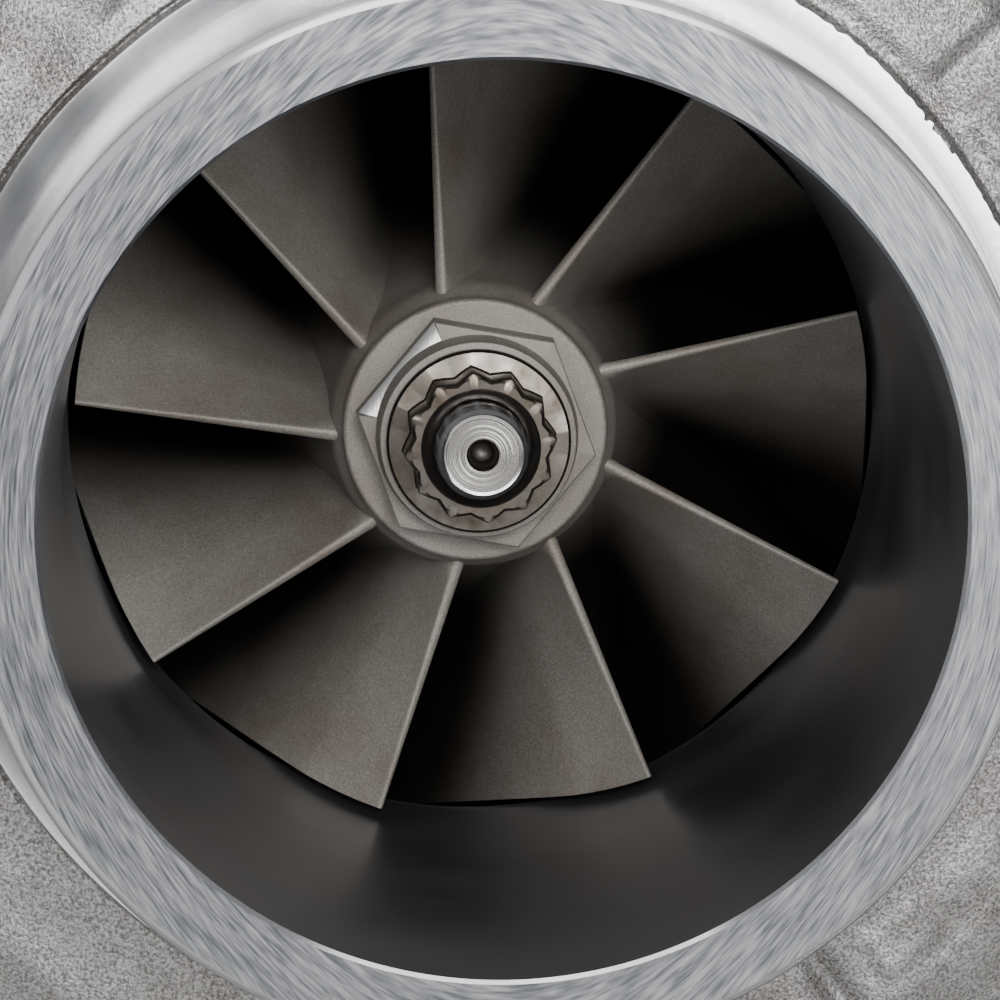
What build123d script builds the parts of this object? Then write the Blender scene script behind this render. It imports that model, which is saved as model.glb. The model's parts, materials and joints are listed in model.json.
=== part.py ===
"""Car turbocharger with an oil-fed journal bearing core and an internal wastegate.

The shaft lies along Y, the compressor inlet faces -Y and +Z is up. The origin is the
centre of the compressor inlet's machined face. Sizes are in millimetres.
"""

from build123d import *
from math import atan2, cos, degrees, hypot, pi, radians, sin
import os

# Clearances
SLIP = 0.02            # radial gap of a piece that is slid on and held by friction or a nut
OIL_FILM = 0.04        # radial gap that an oil film fills in a running fit
END_FLOAT = 0.05       # axial gap on each side of the thrust bearing
SEAL_GAP = 0.15        # radial gap between a turning land and its bore
SEAT_GAP = 0.12        # gap under the closed wastegate valve
BODY_GAP = 0.35        # room between moving pieces that never touch

# Compressor inlet spigot, from its machined face at y = 0
SPIGOT_R = 38.0
SPIGOT_CHAMFER_R = 0.7
SPIGOT_CHAMFER_L = 1.5
SPIGOT_ROOT_R = 39.46
SPIGOT_L = 20.5
MOUTH_R = 33.07
MOUTH_CHAMFER = 0.3
MOUTH_CONE_L = 36.0
UNDERCUT = 0.35
SHOULDER_R = 41.6

# Compressor wheel
BLADES = 9
INDUCER_R = 30.6
INDUCER_GAP = 0.8
INDUCER_HUB_R = 11.0
INDUCER_Y = 49.0
WHEEL_R = 41.0
WHEEL_L = 28.0         # leading edge to back face
TIP_W = 4.0            # blade width at the exit
DISC_T = 0.8
WHEEL_GAP = 0.45
BACK_GAP = 0.5
BLADE_T = 0.9
BLADE_EDGE_T = 0.5
BLADE_LEAN = -6.9      # degrees, tip against root at the leading edge
FIRST_BLADE = -23.7    # degrees, tip of the first blade
SHROUD_LEAD = 0.15     # share of the blade that runs straight before it curves outwards
SHROUD_LEAD_L = 4.0
NOSE_R = 10.1
NOSE_L = 2.1
HEX_AF = 16.0
HEX_L = 2.9
HEX_TURN = -10.0
BOSS_R = 7.5
BOSS_L = 2.4

# Nut and shaft end
NUT_FLANGE_R = 7.0
NUT_FLANGE_L = 1.0
NUT_R = 5.8
NUT_L = 3.6
NUT_SINK_R = 4.4
NUT_SINK_L = 0.9
THREAD_R = 3.5
THREAD_OUT = 3.5       # thread standing out of the nut
CENTRE_R = 1.2
CENTRE_L = 3.0
STEM_R = 3.6
JOURNAL_R = 6.0

# Compressor diffuser and scroll
DIFFUSER_W = 5.5
DIFFUSER_R = 60.0
SCROLL_IN_R = 58.0
SCROLL_MIN_R = 7.0
SCROLL_MAX_R = 20.0
SCROLL_WALL = 4.0
SCROLL_START = 2.0     # degrees
OUTLET_R = 25.4
OUTLET_BORE_R = 22.0
OUTLET_TOP = 98.0
OUTLET_SPIGOT_L = 32.0
COVER_RING_R = 80.0
COVER_BOLT_R = 71.5
COVER_BOLTS = 6
BOLT_R = 4.0
BOLT_L = 12.0
THREAD_DEPTH = 8.0
CLAMP_T = 4.0
NIPPLE_Z = 48.0        # pressure nipple, on the compressor outlet's side
NIPPLE_HOLE_R = 2.5

# Backplate
BACKPLATE_R = 66.0
BACKPLATE_T = 10.5
BACKPLATE_STEP = 4.5
SEAL_BORE_R = 8.6
O_RING_D = 1.8
O_RING_SINK = 1.4

# Seal rings, oil flinger and thrust bearing
RING_W = 1.5
RING_IN = 1.4          # depth of a piston ring in its groove
THRUST_SINK = 4.0
THRUST_T = 2.5
THRUST_R = 22.0
COLLAR_R = 11.0
COLLAR_HUB_R = 6.0
WASHER_T = 3.2
HOT_LAND_R = 9.4

# Centre housing
CORE_L = 52.0
CORE_FLANGE_R = 46.0
CORE_FLANGE_T = 8.0
CORE_BODY_R = 28.0
CORE_BOLT_R = 38.0
CORE_BOLTS = 4
CORE_BOLT_SIZE = 3.0
BUSH_R = 9.0
BUSH_L = 10.0
FRONT_BUSH_Y = 13.0    # from the core's front face
REAR_BUSH_Y = 31.0
CLIP_T = 1.0
CORE_SEAT = 10.3       # depth of the thrust bearing's recess
V_NECK_R = 42.0
PORT_Y = 27.0          # oil feed and drain, from the core's front face
FEED_Z = 38.0
FEED_HOLE_R = 5.0
FITTING_R = 5.55
DRAIN_Z = 46.0
DRAIN_R = 9.0
DRAIN_BOLT_X = 22.0
DRAIN_HALF_X = 31.0

# Turbine end
V_FLANGE_T = 5.0
BAND_T = 2.2
BAND_TURN = -62.0      # degrees, place of the V-band's bolt
LUG_R = 54.0
PILOT_R = 38.0
PILOT_L = 4.0
TURBINE_R = 33.5
TURBINE_EXIT_R = 31.0
TURBINE_TIP_W = 9.0
TURBINE_DISC_T = 1.2
TURBINE_L = 26.0
TURBINE_BLADES = 10
TURBINE_HUB_R = 9.5
TURBINE_GAP = 0.5
VOLUTE_IN_R = 43.0
VOLUTE_MIN_R = 6.0
VOLUTE_MAX_R = 20.0
VOLUTE_WALL = 5.0
FOOT_Z = 92.0
FOOT_T = 12.0
FOOT_SIZE = (108.0, 74.0)
FOOT_PORT = (58.0, 42.0)
FOOT_BOLTS = (85.0, 50.0)
FOOT_HOLE_R = 5.25
HOUSING_L = 78.0       # turbine housing, joint face to outlet face
OUTLET_FLANGE_T = 10.0
OUTLET_BOLTS = (100.0, 79.0)
OUTLET_FLANGE = (122.0, 101.0)
OUTLET_HOLE_R = 4.5

# Wastegate
CAVITY_L = 31.0        # depth of the outlet cavity
GATE_X = -54.0
FLAP_T = 3.5
FLAP_RIM = 2.5         # seat width round the port
BARREL_R = 6.0         # crank arm round its shaft
LEVER_L = 18.0
LEVER_OPEN = 30.0      # degrees, shut to open
CRANK_R = 3.5
BUSH_WALL = 2.5
CRANK_Y = 7.0          # crank axis, behind the valve seat
LEVER_Z = 54.5
LEVER_T = 4.0
PIN_R = 3.0
EYE_T = 4.0
EYE_GAP = 0.5
EYE_NECK = 9.0         # pin centre to the end of the eye's sleeve
EYE_SLEEVE_L = 11.0
EYE_SLEEVE_R = 4.6

# Actuator
CAN_R = 24.0
CAN_Y = 8.0            # canister front, behind the core's front face
CAN_L = 39.0
CAN_WALL = 1.2
CAN_SEAM = 15.0        # seam, behind the canister's front
HOSE_IN = 8.0          # nipple, behind the canister's front
PISTON_R = 17.0
ROD_R = 3.0
STUD_X = 14.0
BRACKET_T = 3.0
BRACKET_W = 24.0
BRACKET_BOLT_TURN = 8.0
BRACKET_BOLT_R = 3.0

# Places that follow from the sizes above
BORE_R = INDUCER_R + INDUCER_GAP
WHEEL_BACK = INDUCER_Y + WHEEL_L
DIFFUSER_BACK = WHEEL_BACK + BACK_GAP
DIFFUSER_FRONT = DIFFUSER_BACK - DIFFUSER_W
CORE_Y = DIFFUSER_BACK + BACKPLATE_T
SHROUD_FROM = (INDUCER_R, INDUCER_Y + SHROUD_LEAD_L)
SHROUD_TO = (WHEEL_R, WHEEL_BACK - DISC_T - TIP_W)
FLINGER_R = SEAL_BORE_R - SEAL_GAP
FLINGER_RING_Y = DIFFUSER_BACK + 5.0
O_RING_Y = DIFFUSER_BACK + BACKPLATE_STEP / 2
THRUST_Y = CORE_Y + THRUST_SINK
JOURNAL_START = THRUST_Y + THRUST_T + END_FLOAT + WASHER_T
CORE_BORE_R = BUSH_R + OIL_FILM
HOT_BORE_R = HOT_LAND_R + SEAL_GAP
HOT_LAND_Y = CORE_Y + CORE_L - 8.5
HOT_RING_Y = CORE_Y + CORE_L - 4.5
BAND_R = CORE_FLANGE_R + BAND_T
JOINT_Y = CORE_Y + CORE_L - PILOT_L
TURBINE_Y = JOINT_Y + 12.5
NOZZLE_Y = TURBINE_Y - 0.6
NUT_Y = INDUCER_Y - NOSE_L - HEX_L - BOSS_L
SHAFT_END = NUT_Y - NUT_FLANGE_L - NUT_L - THREAD_OUT
SEAT_Y = JOINT_Y + HOUSING_L - CAVITY_L
OUTLET_Y = JOINT_Y + HOUSING_L
FLAP_R = LEVER_L - BARREL_R - 0.5
GATE_PORT_R = FLAP_R - FLAP_RIM
CRANK_X = GATE_X - LEVER_L
HALF_OPEN = LEVER_OPEN / 2
PIN_X = CRANK_X + LEVER_L * cos(radians(HALF_OPEN))
PIN_Y = SEAT_Y + CRANK_Y - LEVER_L * sin(radians(HALF_OPEN))
ROD_X = (PIN_X + GATE_X) / 2
EYE_R = PIN_R + (GATE_X - PIN_X) / 2 + BODY_GAP
OUTLET_X = SCROLL_IN_R + 0.9 * SCROLL_MAX_R
OUTLET_AXIS_Y = DIFFUSER_BACK - SCROLL_MAX_R
FOOT_X = VOLUTE_IN_R + 0.9 * VOLUTE_MAX_R
VOLUTE_Y = NOZZLE_Y + VOLUTE_MAX_R
FEED_Y = CORE_Y + PORT_Y
EYE_Z = LEVER_Z + LEVER_T + EYE_GAP
ROD_Z = EYE_Z + EYE_T / 2
BRACKET_ANGLE = degrees(atan2(ROD_Z, ROD_X))
CAN_FRONT = CORE_Y + CAN_Y
CAN_BACK = CAN_FRONT + CAN_L
SEAM_Y = CAN_FRONT + CAN_SEAM
CRIMP_R = CAN_R + 2.4
ROD_START = SEAM_Y + 3.0
ROD_OUT_R = hypot(ROD_X, ROD_Z)
NUT_PLACE = PIN_Y - EYE_NECK - EYE_SLEEVE_L - 3.0


def turned(*outline):
    """A solid turned about the shaft axis; the outline is (radius, y) corners in order."""
    return revolve(make_face(Polyline(*outline, close=True)), Axis.Y)


def ring(inner, outer, low, high):
    """A plain ring about the shaft axis."""
    return turned((inner, low), (outer, low), (outer, high), (inner, high))


def disc(radius, low, high):
    """A plain disc about the shaft axis."""
    return ring(0, radius, low, high)


def rod(start, end, radius):
    """A round bar from one point to another."""
    along = Vector(*end) - Vector(*start)
    return Part() + Solid.make_cylinder(radius, along.length, Plane(origin=start, z_dir=along))


def tube(start, end, outer, inner):
    """A round tube from one point to another."""
    return rod(start, end, outer) - rod(start, end, inner)


def prism(sketch, low, high):
    """A sketch whose x and y are the object's x and z, carried from y = low to y = high."""
    plane = Plane(origin=(0, low, 0), x_dir=(1, 0, 0), z_dir=(0, -1, 0))
    return extrude(plane * sketch, amount=-(high - low))


def around(radius, angle, y):
    """A point on a circle about the shaft axis."""
    return (radius * cos(radians(angle)), y, radius * sin(radians(angle)))


def fan(piece, count, first=0.0):
    """Copies of a piece, evenly spaced about the shaft axis."""
    return [piece.rotate(Axis.Y, -(first + 360 * k / count)) for k in range(count)]


def clean(solid):
    """The single solid of a shape."""
    return max(solid.solids(), key=lambda piece: piece.volume)


def scroll_plane(radius, y, angle):
    """The plane across a scroll passage, its x pointing away from the shaft."""
    c, s = cos(radians(angle)), sin(radians(angle))
    return Plane(origin=(radius * c, y, radius * s), x_dir=(c, 0, s), z_dir=(-s, 0, c))


def compressor_scroll(wall):
    """The compressor's spiral passage, or its outside when it has a wall."""
    steps = 10
    sections = []
    for k in range(steps + 1):
        share = k / steps
        angle = SCROLL_START + share * (360 - SCROLL_START)
        radius = SCROLL_MIN_R + share * (SCROLL_MAX_R - SCROLL_MIN_R)
        plane = scroll_plane(SCROLL_IN_R + 0.9 * radius, DIFFUSER_BACK - radius, angle)
        sections.append(plane * Circle(radius + wall))
    return loft(sections)


def turbine_scroll(wall):
    """The turbine's spiral passage, largest at the foot and closing in the turning sense."""
    steps = 10
    sections = []
    for k in range(steps + 1):
        share = k / steps
        angle = share * 340
        radius = VOLUTE_MAX_R + share * (VOLUTE_MIN_R - VOLUTE_MAX_R)
        plane = scroll_plane(VOLUTE_IN_R + 0.9 * radius, NOZZLE_Y + radius, angle)
        sections.append(plane * Circle(radius + wall))
    return loft(sections)


def curve(start, end, share):
    """A point on a quarter ellipse that leaves start along Y and reaches end outwards."""
    angle = share * pi / 2
    grow, run = 1 - cos(angle), sin(angle)
    return (start[0] + (end[0] - start[0]) * grow, start[1] + (end[1] - start[1]) * run)


def shroud_point(share, gap=0.0):
    """The blades' outer edge, or the wall that faces it across a gap."""
    if share < SHROUD_LEAD:
        return (INDUCER_R + gap, INDUCER_Y + SHROUD_LEAD_L * share / SHROUD_LEAD)
    rest = (share - SHROUD_LEAD) / (1 - SHROUD_LEAD)
    r, y = curve(SHROUD_FROM, SHROUD_TO, rest)
    turn = rest * pi / 2
    return (r + gap * cos(turn), y - gap * sin(turn))


def hub_point(share):
    """The compressor hub's surface between the blades."""
    return curve((INDUCER_HUB_R, INDUCER_Y), (WHEEL_R, WHEEL_BACK - DISC_T), share)


def blade_turn(share):
    """How far a compressor blade has wrapped, in degrees, from its leading edge."""
    return 30 * (1 - (1 - share) ** 2) + 27 * share


def blade_sections(stations, hub_at, shroud_at, turn_at, lean_at, thick_at, sink):
    """Flat four-cornered sections through a blade, root to tip, from edge to edge."""
    wires = []
    for k in range(stations + 1):
        share = k / stations
        (hub_r, hub_y), (tip_r, tip_y) = hub_at(share), shroud_at(share)
        root = turn_at(share)
        tip = root + lean_at(share)
        a = Vector(*around(hub_r - sink, root, hub_y + sink * share))
        b = Vector(*around(tip_r, tip, tip_y))
        side = Vector(*around(1, (root + tip) / 2 + 90, 0)) * (thick_at(share) / 2)
        wires.append(Wire.make_polygon([a - side, b - side, b + side, a + side], close=True))
    return wires


def compressor_wheel():
    """Cast wheel: nose, hexagon, boss, hub, disc and its full blades."""
    hub = [hub_point(k / 8) for k in range(9)]
    body = turned(
        (0, INDUCER_Y - NOSE_L), (NOSE_R, INDUCER_Y - NOSE_L), *hub,
        (WHEEL_R, WHEEL_BACK), (BOSS_R * 1.6, WHEEL_BACK), (0, WHEEL_BACK),
    )
    hexagon = RegularPolygon(HEX_AF / 2, 6, major_radius=False, rotation=HEX_TURN)
    body += prism(hexagon, INDUCER_Y - NOSE_L - HEX_L, INDUCER_Y - NOSE_L + 1)
    body += disc(BOSS_R, NUT_Y, INDUCER_Y - NOSE_L)
    wires = blade_sections(
        9, hub_point, shroud_point,
        lambda share: -BLADE_LEAN + FIRST_BLADE - blade_turn(share),
        lambda share: BLADE_LEAN * (1 - share),
        lambda share: (BLADE_EDGE_T + (BLADE_T - BLADE_EDGE_T) * min(1, 3 * share))
        / cos(radians(52 * (1 - share))),
        0.8,
    )
    blade = Part() + Solid.make_loft(wires, ruled=True)
    body += fan(blade, BLADES)
    return clean(body - disc(STEM_R + SLIP, NUT_Y - 1, WHEEL_BACK + 1))


def compressor_nut():
    """Twelve-point flanged lock nut with a countersunk mouth."""
    face = NUT_Y - NUT_FLANGE_L - NUT_L
    points = RegularPolygon(NUT_R, 6) + RegularPolygon(NUT_R, 6, rotation=30)
    nut = disc(NUT_FLANGE_R, NUT_Y - NUT_FLANGE_L, NUT_Y)
    nut += prism(points, face, NUT_Y - NUT_FLANGE_L)
    nut -= turned((0, face), (NUT_SINK_R, face), (THREAD_R, face + NUT_SINK_L), (0, face + NUT_SINK_L))
    return clean(nut - disc(THREAD_R + SLIP, face, NUT_Y))


def shaft():
    """Stepped shaft with its thread, journals and turbine-end seal land."""
    body = turned(
        (0, SHAFT_END), (THREAD_R - 0.5, SHAFT_END), (THREAD_R, SHAFT_END + 0.5),
        (THREAD_R, NUT_Y + 6), (STEM_R, NUT_Y + 6), (STEM_R, JOURNAL_START),
        (JOURNAL_R, JOURNAL_START), (JOURNAL_R, HOT_LAND_Y), (HOT_LAND_R, HOT_LAND_Y),
        (HOT_LAND_R, TURBINE_Y), (0, TURBINE_Y),
    )
    groove = ring(HOT_LAND_R - RING_IN, HOT_LAND_R + 1, HOT_RING_Y, HOT_RING_Y + RING_W)
    middle = (CORE_Y + FRONT_BUSH_Y + BUSH_L, CORE_Y + REAR_BUSH_Y)
    waist = ring(JOURNAL_R - 0.5, JOURNAL_R + 1, middle[0] + 1, middle[1] - 1)
    centre = disc(CENTRE_R, SHAFT_END - 1, SHAFT_END + CENTRE_L)
    return clean(body - groove - waist - centre)


def oil_flinger():
    """Sleeve behind the wheel that carries the front seal ring and throws oil outwards."""
    body = disc(FLINGER_R, WHEEL_BACK, CORE_Y + 0.4) + disc(12.0, CORE_Y + 0.4, CORE_Y + 2.2)
    groove_y = FLINGER_RING_Y
    body -= ring(FLINGER_R - RING_IN, FLINGER_R + 1, groove_y, groove_y + RING_W)
    return clean(body - disc(STEM_R + SLIP, WHEEL_BACK, CORE_Y + 3))


def thrust_collar():
    """Front half of the thrust collar, with the hub that the thrust bearing runs on."""
    body = disc(COLLAR_R, CORE_Y + 2.2, THRUST_Y - END_FLOAT)
    body += disc(COLLAR_HUB_R, CORE_Y + 2.2, THRUST_Y + THRUST_T + END_FLOAT)
    return clean(body - disc(STEM_R + SLIP, CORE_Y, THRUST_Y + THRUST_T + 1))


def thrust_washer():
    """Rear half of the thrust collar, against the shaft's step."""
    low = THRUST_Y + THRUST_T + END_FLOAT
    return clean(ring(STEM_R + SLIP, COLLAR_R, low, low + WASHER_T))


def split_ring(inner, outer, low, high, gap):
    """A ring cut once, as a piston ring or a circlip is."""
    return clean(ring(inner, outer, low, high) - Pos(outer, (low + high) / 2, 0) * Box(outer, 9, gap))


def thrust_bearing():
    """Bronze thrust plate with an oil groove and three wedge pads' slots on each face."""
    body = ring(COLLAR_HUB_R + 0.1, THRUST_R - 0.1, THRUST_Y, THRUST_Y + THRUST_T)
    slot = Pos(8.5, THRUST_Y, 0) * Box(5.5, 0.8, 1.2)
    back = Pos(8.5, THRUST_Y + THRUST_T, 0) * Box(5.5, 0.8, 1.2)
    for cut in (*fan(slot, 3, 30), *fan(back, 3, 30)):
        body -= cut
    return clean(body)


def oil_deflector():
    """Pressed dish that keeps thrown oil away from the front seal."""
    return clean(turned(
        (13.0, CORE_Y + 2.6), (19.0, CORE_Y + 2.6), (19.0, CORE_Y + 0.1), (THRUST_R - 0.1, CORE_Y + 0.1),
        (THRUST_R - 0.1, THRUST_Y), (19.0, THRUST_Y), (19.0, CORE_Y + 3.6), (13.0, CORE_Y + 3.6),
    ))


def journal_bush(low):
    """Floating bronze bush with six oil holes and a groove round its middle."""
    body = ring(JOURNAL_R + OIL_FILM, BUSH_R, low, low + BUSH_L)
    middle = low + BUSH_L / 2
    body -= ring(BUSH_R - 0.4, BUSH_R + 1, middle - 1, middle + 1)
    for hole in fan(rod((0, middle, 0), (BUSH_R + 1, middle, 0), 0.9), 6):
        body -= hole
    return clean(body)


def turbine_shroud(share, gap=0.0):
    """The turbine blades' outer edge, or the wall that faces it across a gap."""
    start = (TURBINE_EXIT_R, TURBINE_Y + TURBINE_L)
    end = (TURBINE_R, TURBINE_Y + TURBINE_DISC_T + TURBINE_TIP_W)
    r, y = curve(start, end, 1 - share)
    turn = (1 - share) * pi / 2
    return (r + gap * cos(turn), y + gap * sin(turn))


def turbine_wheel():
    """Turbine wheel: back disc, hub, hexagon nose and its blades."""
    low, high = TURBINE_Y, TURBINE_Y + TURBINE_L

    def hub_at(share):
        return curve((TURBINE_HUB_R, high), (TURBINE_R, low + TURBINE_DISC_T), 1 - share)

    hub = [hub_at(k / 8) for k in range(9)]
    body = turned(
        (0, low), (TURBINE_R, low), *hub, (TURBINE_HUB_R, high + 3), (0, high + 3),
    )
    nose = RegularPolygon(8.0, 6)
    body += prism(nose, high + 2, high + 7)
    wires = blade_sections(
        8, hub_at, turbine_shroud,
        lambda share: -48 * share ** 2,
        lambda share: 0.0,
        lambda share: 1.2 / cos(radians(50 * share)),
        1.0,
    )
    blade = Part() + Solid.make_loft(wires, ruled=True)
    return clean(body + fan(blade, TURBINE_BLADES))


def block(low, high):
    """A box between two corners."""
    size = [b - a for a, b in zip(low, high)]
    return Pos(*[(a + b) / 2 for a, b in zip(low, high)]) * Box(*size)


def bolt_spots(count, radius, y, first=0.0):
    """Points evenly spaced on a bolt circle."""
    return [around(radius, first + 360 * k / count, y) for k in range(count)]


def cover_bolt_spots(y):
    """The compressor cover's bolt circle, set to leave room for the actuator bracket."""
    return bolt_spots(COVER_BOLTS, COVER_BOLT_R, y, BRACKET_ANGLE + 180 / COVER_BOLTS)


def bracket_bolt_spots(y):
    """The two bolts that hold the actuator bracket to the compressor housing."""
    return [around(COVER_BOLT_R, BRACKET_ANGLE + side * BRACKET_BOLT_TURN, y) for side in (-1, 1)]


def behind(point, length):
    """The point that lies this far along +Y."""
    return (point[0], point[1] + length, point[2])


def hex_head(point, across, height):
    """A hexagonal head or nut whose front face is at the point, with its axis along Y."""
    x, y, z = point
    return prism(Pos(x, z) * RegularPolygon(across / 2, 6, major_radius=False), y, y + height)


def cover_outside():
    """Outside of the compressor cover's casting: spigot, neck, scroll, rear ring and outlet."""
    neck = SCROLL_IN_R + 1
    body = turned(
        (0, 0), (SPIGOT_R, 0), (SPIGOT_R + SPIGOT_CHAMFER_R, SPIGOT_CHAMFER_L),
        (SPIGOT_ROOT_R, SPIGOT_L), (SPIGOT_ROOT_R, SPIGOT_L + UNDERCUT),
        (SPIGOT_ROOT_R + UNDERCUT, SPIGOT_L + UNDERCUT), (SPIGOT_ROOT_R + UNDERCUT, SPIGOT_L),
        (SHOULDER_R, SPIGOT_L), (SHOULDER_R + 0.5, SPIGOT_L + 1), (neck - 9, SPIGOT_L + 3),
        (neck - 3, SPIGOT_L + 7), (neck, SPIGOT_L + 14), (neck, DIFFUSER_BACK), (0, DIFFUSER_BACK),
    )
    body += turned(
        (neck - 10, DIFFUSER_FRONT), (COVER_RING_R - 5, DIFFUSER_BACK - 4),
        (COVER_RING_R, DIFFUSER_BACK), (COVER_RING_R, CORE_Y), (neck - 10, CORE_Y),
    )
    body += compressor_scroll(SCROLL_WALL)
    base = (OUTLET_X, OUTLET_AXIS_Y, 0)
    straight = OUTLET_TOP - OUTLET_SPIGOT_L
    plane = Plane(origin=base, z_dir=(0, 0, 1))
    body += Solid.make_cone(SCROLL_MAX_R + SCROLL_WALL, OUTLET_R, straight, plane)
    body += rod((*base[:2], straight), (*base[:2], OUTLET_TOP), OUTLET_R)
    body += rod((OUTLET_X, OUTLET_AXIS_Y, NIPPLE_Z), nipple_seat(), 7.0)
    return body


def nipple_seat():
    """Centre of the machined seat that the pressure nipple screws into."""
    return (OUTLET_X + OUTLET_R + 3, OUTLET_AXIS_Y, NIPPLE_Z)


def cover_inside():
    """What is cut from the casting: inlet bore, diffuser, backplate seat, scroll and outlet."""
    wall = [shroud_point(k / 10, WHEEL_GAP) for k in range(11)]
    wall = [(max(r, BORE_R), y) for r, y in wall if y > MOUTH_CONE_L + 1]
    hollow = turned(
        (0, -1), (MOUTH_R + MOUTH_CHAMFER, -1), (MOUTH_R + MOUTH_CHAMFER, 0),
        (MOUTH_R, MOUTH_CHAMFER), (BORE_R, MOUTH_CONE_L), *wall, (WHEEL_R + 2, DIFFUSER_FRONT),
        (DIFFUSER_R, DIFFUSER_FRONT), (DIFFUSER_R + 0.1, DIFFUSER_BACK + BACKPLATE_STEP),
        (BACKPLATE_R + 0.1, DIFFUSER_BACK + BACKPLATE_STEP), (BACKPLATE_R + 0.1, CORE_Y + 1),
        (0, CORE_Y + 1),
    )
    hollow += compressor_scroll(0)
    plane = Plane(origin=(OUTLET_X, OUTLET_AXIS_Y, 0), z_dir=(0, 0, 1))
    hollow += Solid.make_cone(SCROLL_MAX_R, OUTLET_BORE_R, OUTLET_TOP + 0.01, plane)
    hollow += rod((OUTLET_X, OUTLET_AXIS_Y, NIPPLE_Z), nipple_seat(), NIPPLE_HOLE_R)
    return hollow


def compressor_housing():
    """Cast and machined aluminium cover with its tapped holes."""
    body = cover_outside() - cover_inside()
    for spot in cover_bolt_spots(CORE_Y - THREAD_DEPTH):
        body -= rod(spot, behind(spot, THREAD_DEPTH + 1), BOLT_R + SLIP)
    for spot in bracket_bolt_spots(CORE_Y - THREAD_DEPTH):
        body -= rod(spot, behind(spot, THREAD_DEPTH + 1), BRACKET_BOLT_R + SLIP)
    return clean(body)


def backplate():
    """Backplate that closes the compressor, with its seal bore, O-ring groove and tapped holes."""
    step = DIFFUSER_BACK + BACKPLATE_STEP
    body = turned(
        (SEAL_BORE_R, DIFFUSER_BACK), (DIFFUSER_R - 0.05, DIFFUSER_BACK), (DIFFUSER_R - 0.05, step),
        (BACKPLATE_R, step), (BACKPLATE_R, CORE_Y), (SEAL_BORE_R, CORE_Y),
    )
    half = O_RING_D * 0.6
    body -= ring(DIFFUSER_R - O_RING_SINK, DIFFUSER_R + 1, O_RING_Y - half, O_RING_Y + half)
    for spot in bolt_spots(CORE_BOLTS, CORE_BOLT_R, CORE_Y - 7, 45):
        body -= rod(spot, behind(spot, 8), CORE_BOLT_SIZE + SLIP)
    return clean(body)


def backplate_o_ring():
    """Rubber O-ring between the backplate's rim and the cover, slightly squashed."""
    low, high = O_RING_Y - O_RING_D / 2, O_RING_Y + O_RING_D / 2
    inner, outer = DIFFUSER_R - O_RING_SINK + 0.02, DIFFUSER_R + 0.02
    return clean(turned(
        (inner, low + 0.4), (inner + 0.4, low), (outer - 0.4, low), (outer, low + 0.4),
        (outer, high - 0.4), (outer - 0.4, high), (inner + 0.4, high), (inner, high - 0.4),
    ))


def cover_clamp_plates():
    """Three curved plates, each under two bolts, that hold the backplate in the cover."""
    half = 180 / COVER_BOLTS + 8
    plates = []
    for k in range(COVER_BOLTS // 2):
        middle = BRACKET_ANGLE + 60 + 120 * k
        wedge = turned(
            (DIFFUSER_R + 1, CORE_Y), (COVER_RING_R - 1.5, CORE_Y),
            (COVER_RING_R - 1.5, CORE_Y + CLAMP_T), (DIFFUSER_R + 1, CORE_Y + CLAMP_T),
        )
        far = 3 * COVER_RING_R
        corners = [around(far, middle + side * half, 0) for side in (-1, 1)]
        slice_ = Polyline((0, 0), *[(x, z) for x, _, z in corners], close=True)
        plate = wedge & prism(make_face(slice_), CORE_Y - 1, CORE_Y + CLAMP_T + 1)
        for spot in cover_bolt_spots(CORE_Y - 1):
            plate -= rod(spot, behind(spot, CLAMP_T + 2), BOLT_R + 0.3)
        plates.append(clean(plate))
    return Compound(children=plates)


def headed_bolts(spots, radius, length, across, height):
    """Hexagon-head bolts whose heads rest at the given points and whose shanks run to -Y."""
    bolts = []
    for spot in spots:
        body = hex_head(spot, across, height) + rod(behind(spot, -length), behind(spot, 1), radius)
        bolts.append(clean(body))
    return Compound(children=bolts)


def core_outside():
    """Outside of the centre housing's casting."""
    y, back = CORE_Y, CORE_Y + CORE_L
    joint = back - PILOT_L
    body = turned(
        (0, y), (CORE_FLANGE_R, y), (CORE_FLANGE_R, y + CORE_FLANGE_T),
        (CORE_BODY_R + 3, y + CORE_FLANGE_T), (CORE_BODY_R, y + CORE_FLANGE_T + 3),
        (CORE_BODY_R, joint - 14), (V_NECK_R, joint - V_FLANGE_T - 1),
        (V_NECK_R, joint - V_FLANGE_T), (CORE_FLANGE_R, joint - V_FLANGE_T),
        (CORE_FLANGE_R, joint), (PILOT_R, joint), (PILOT_R, back), (0, back),
    )
    body += rod((0, FEED_Y, 15), (0, FEED_Y, FEED_Z), 12.0)
    pad = RectangleRounded(2 * DRAIN_HALF_X, 27, 9)
    body += extrude(Plane(origin=(0, FEED_Y, -DRAIN_Z)) * pad, amount=11)
    body += rod((0, FEED_Y, -DRAIN_Z), (0, FEED_Y, -15), DRAIN_R + 4)
    return body


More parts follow.
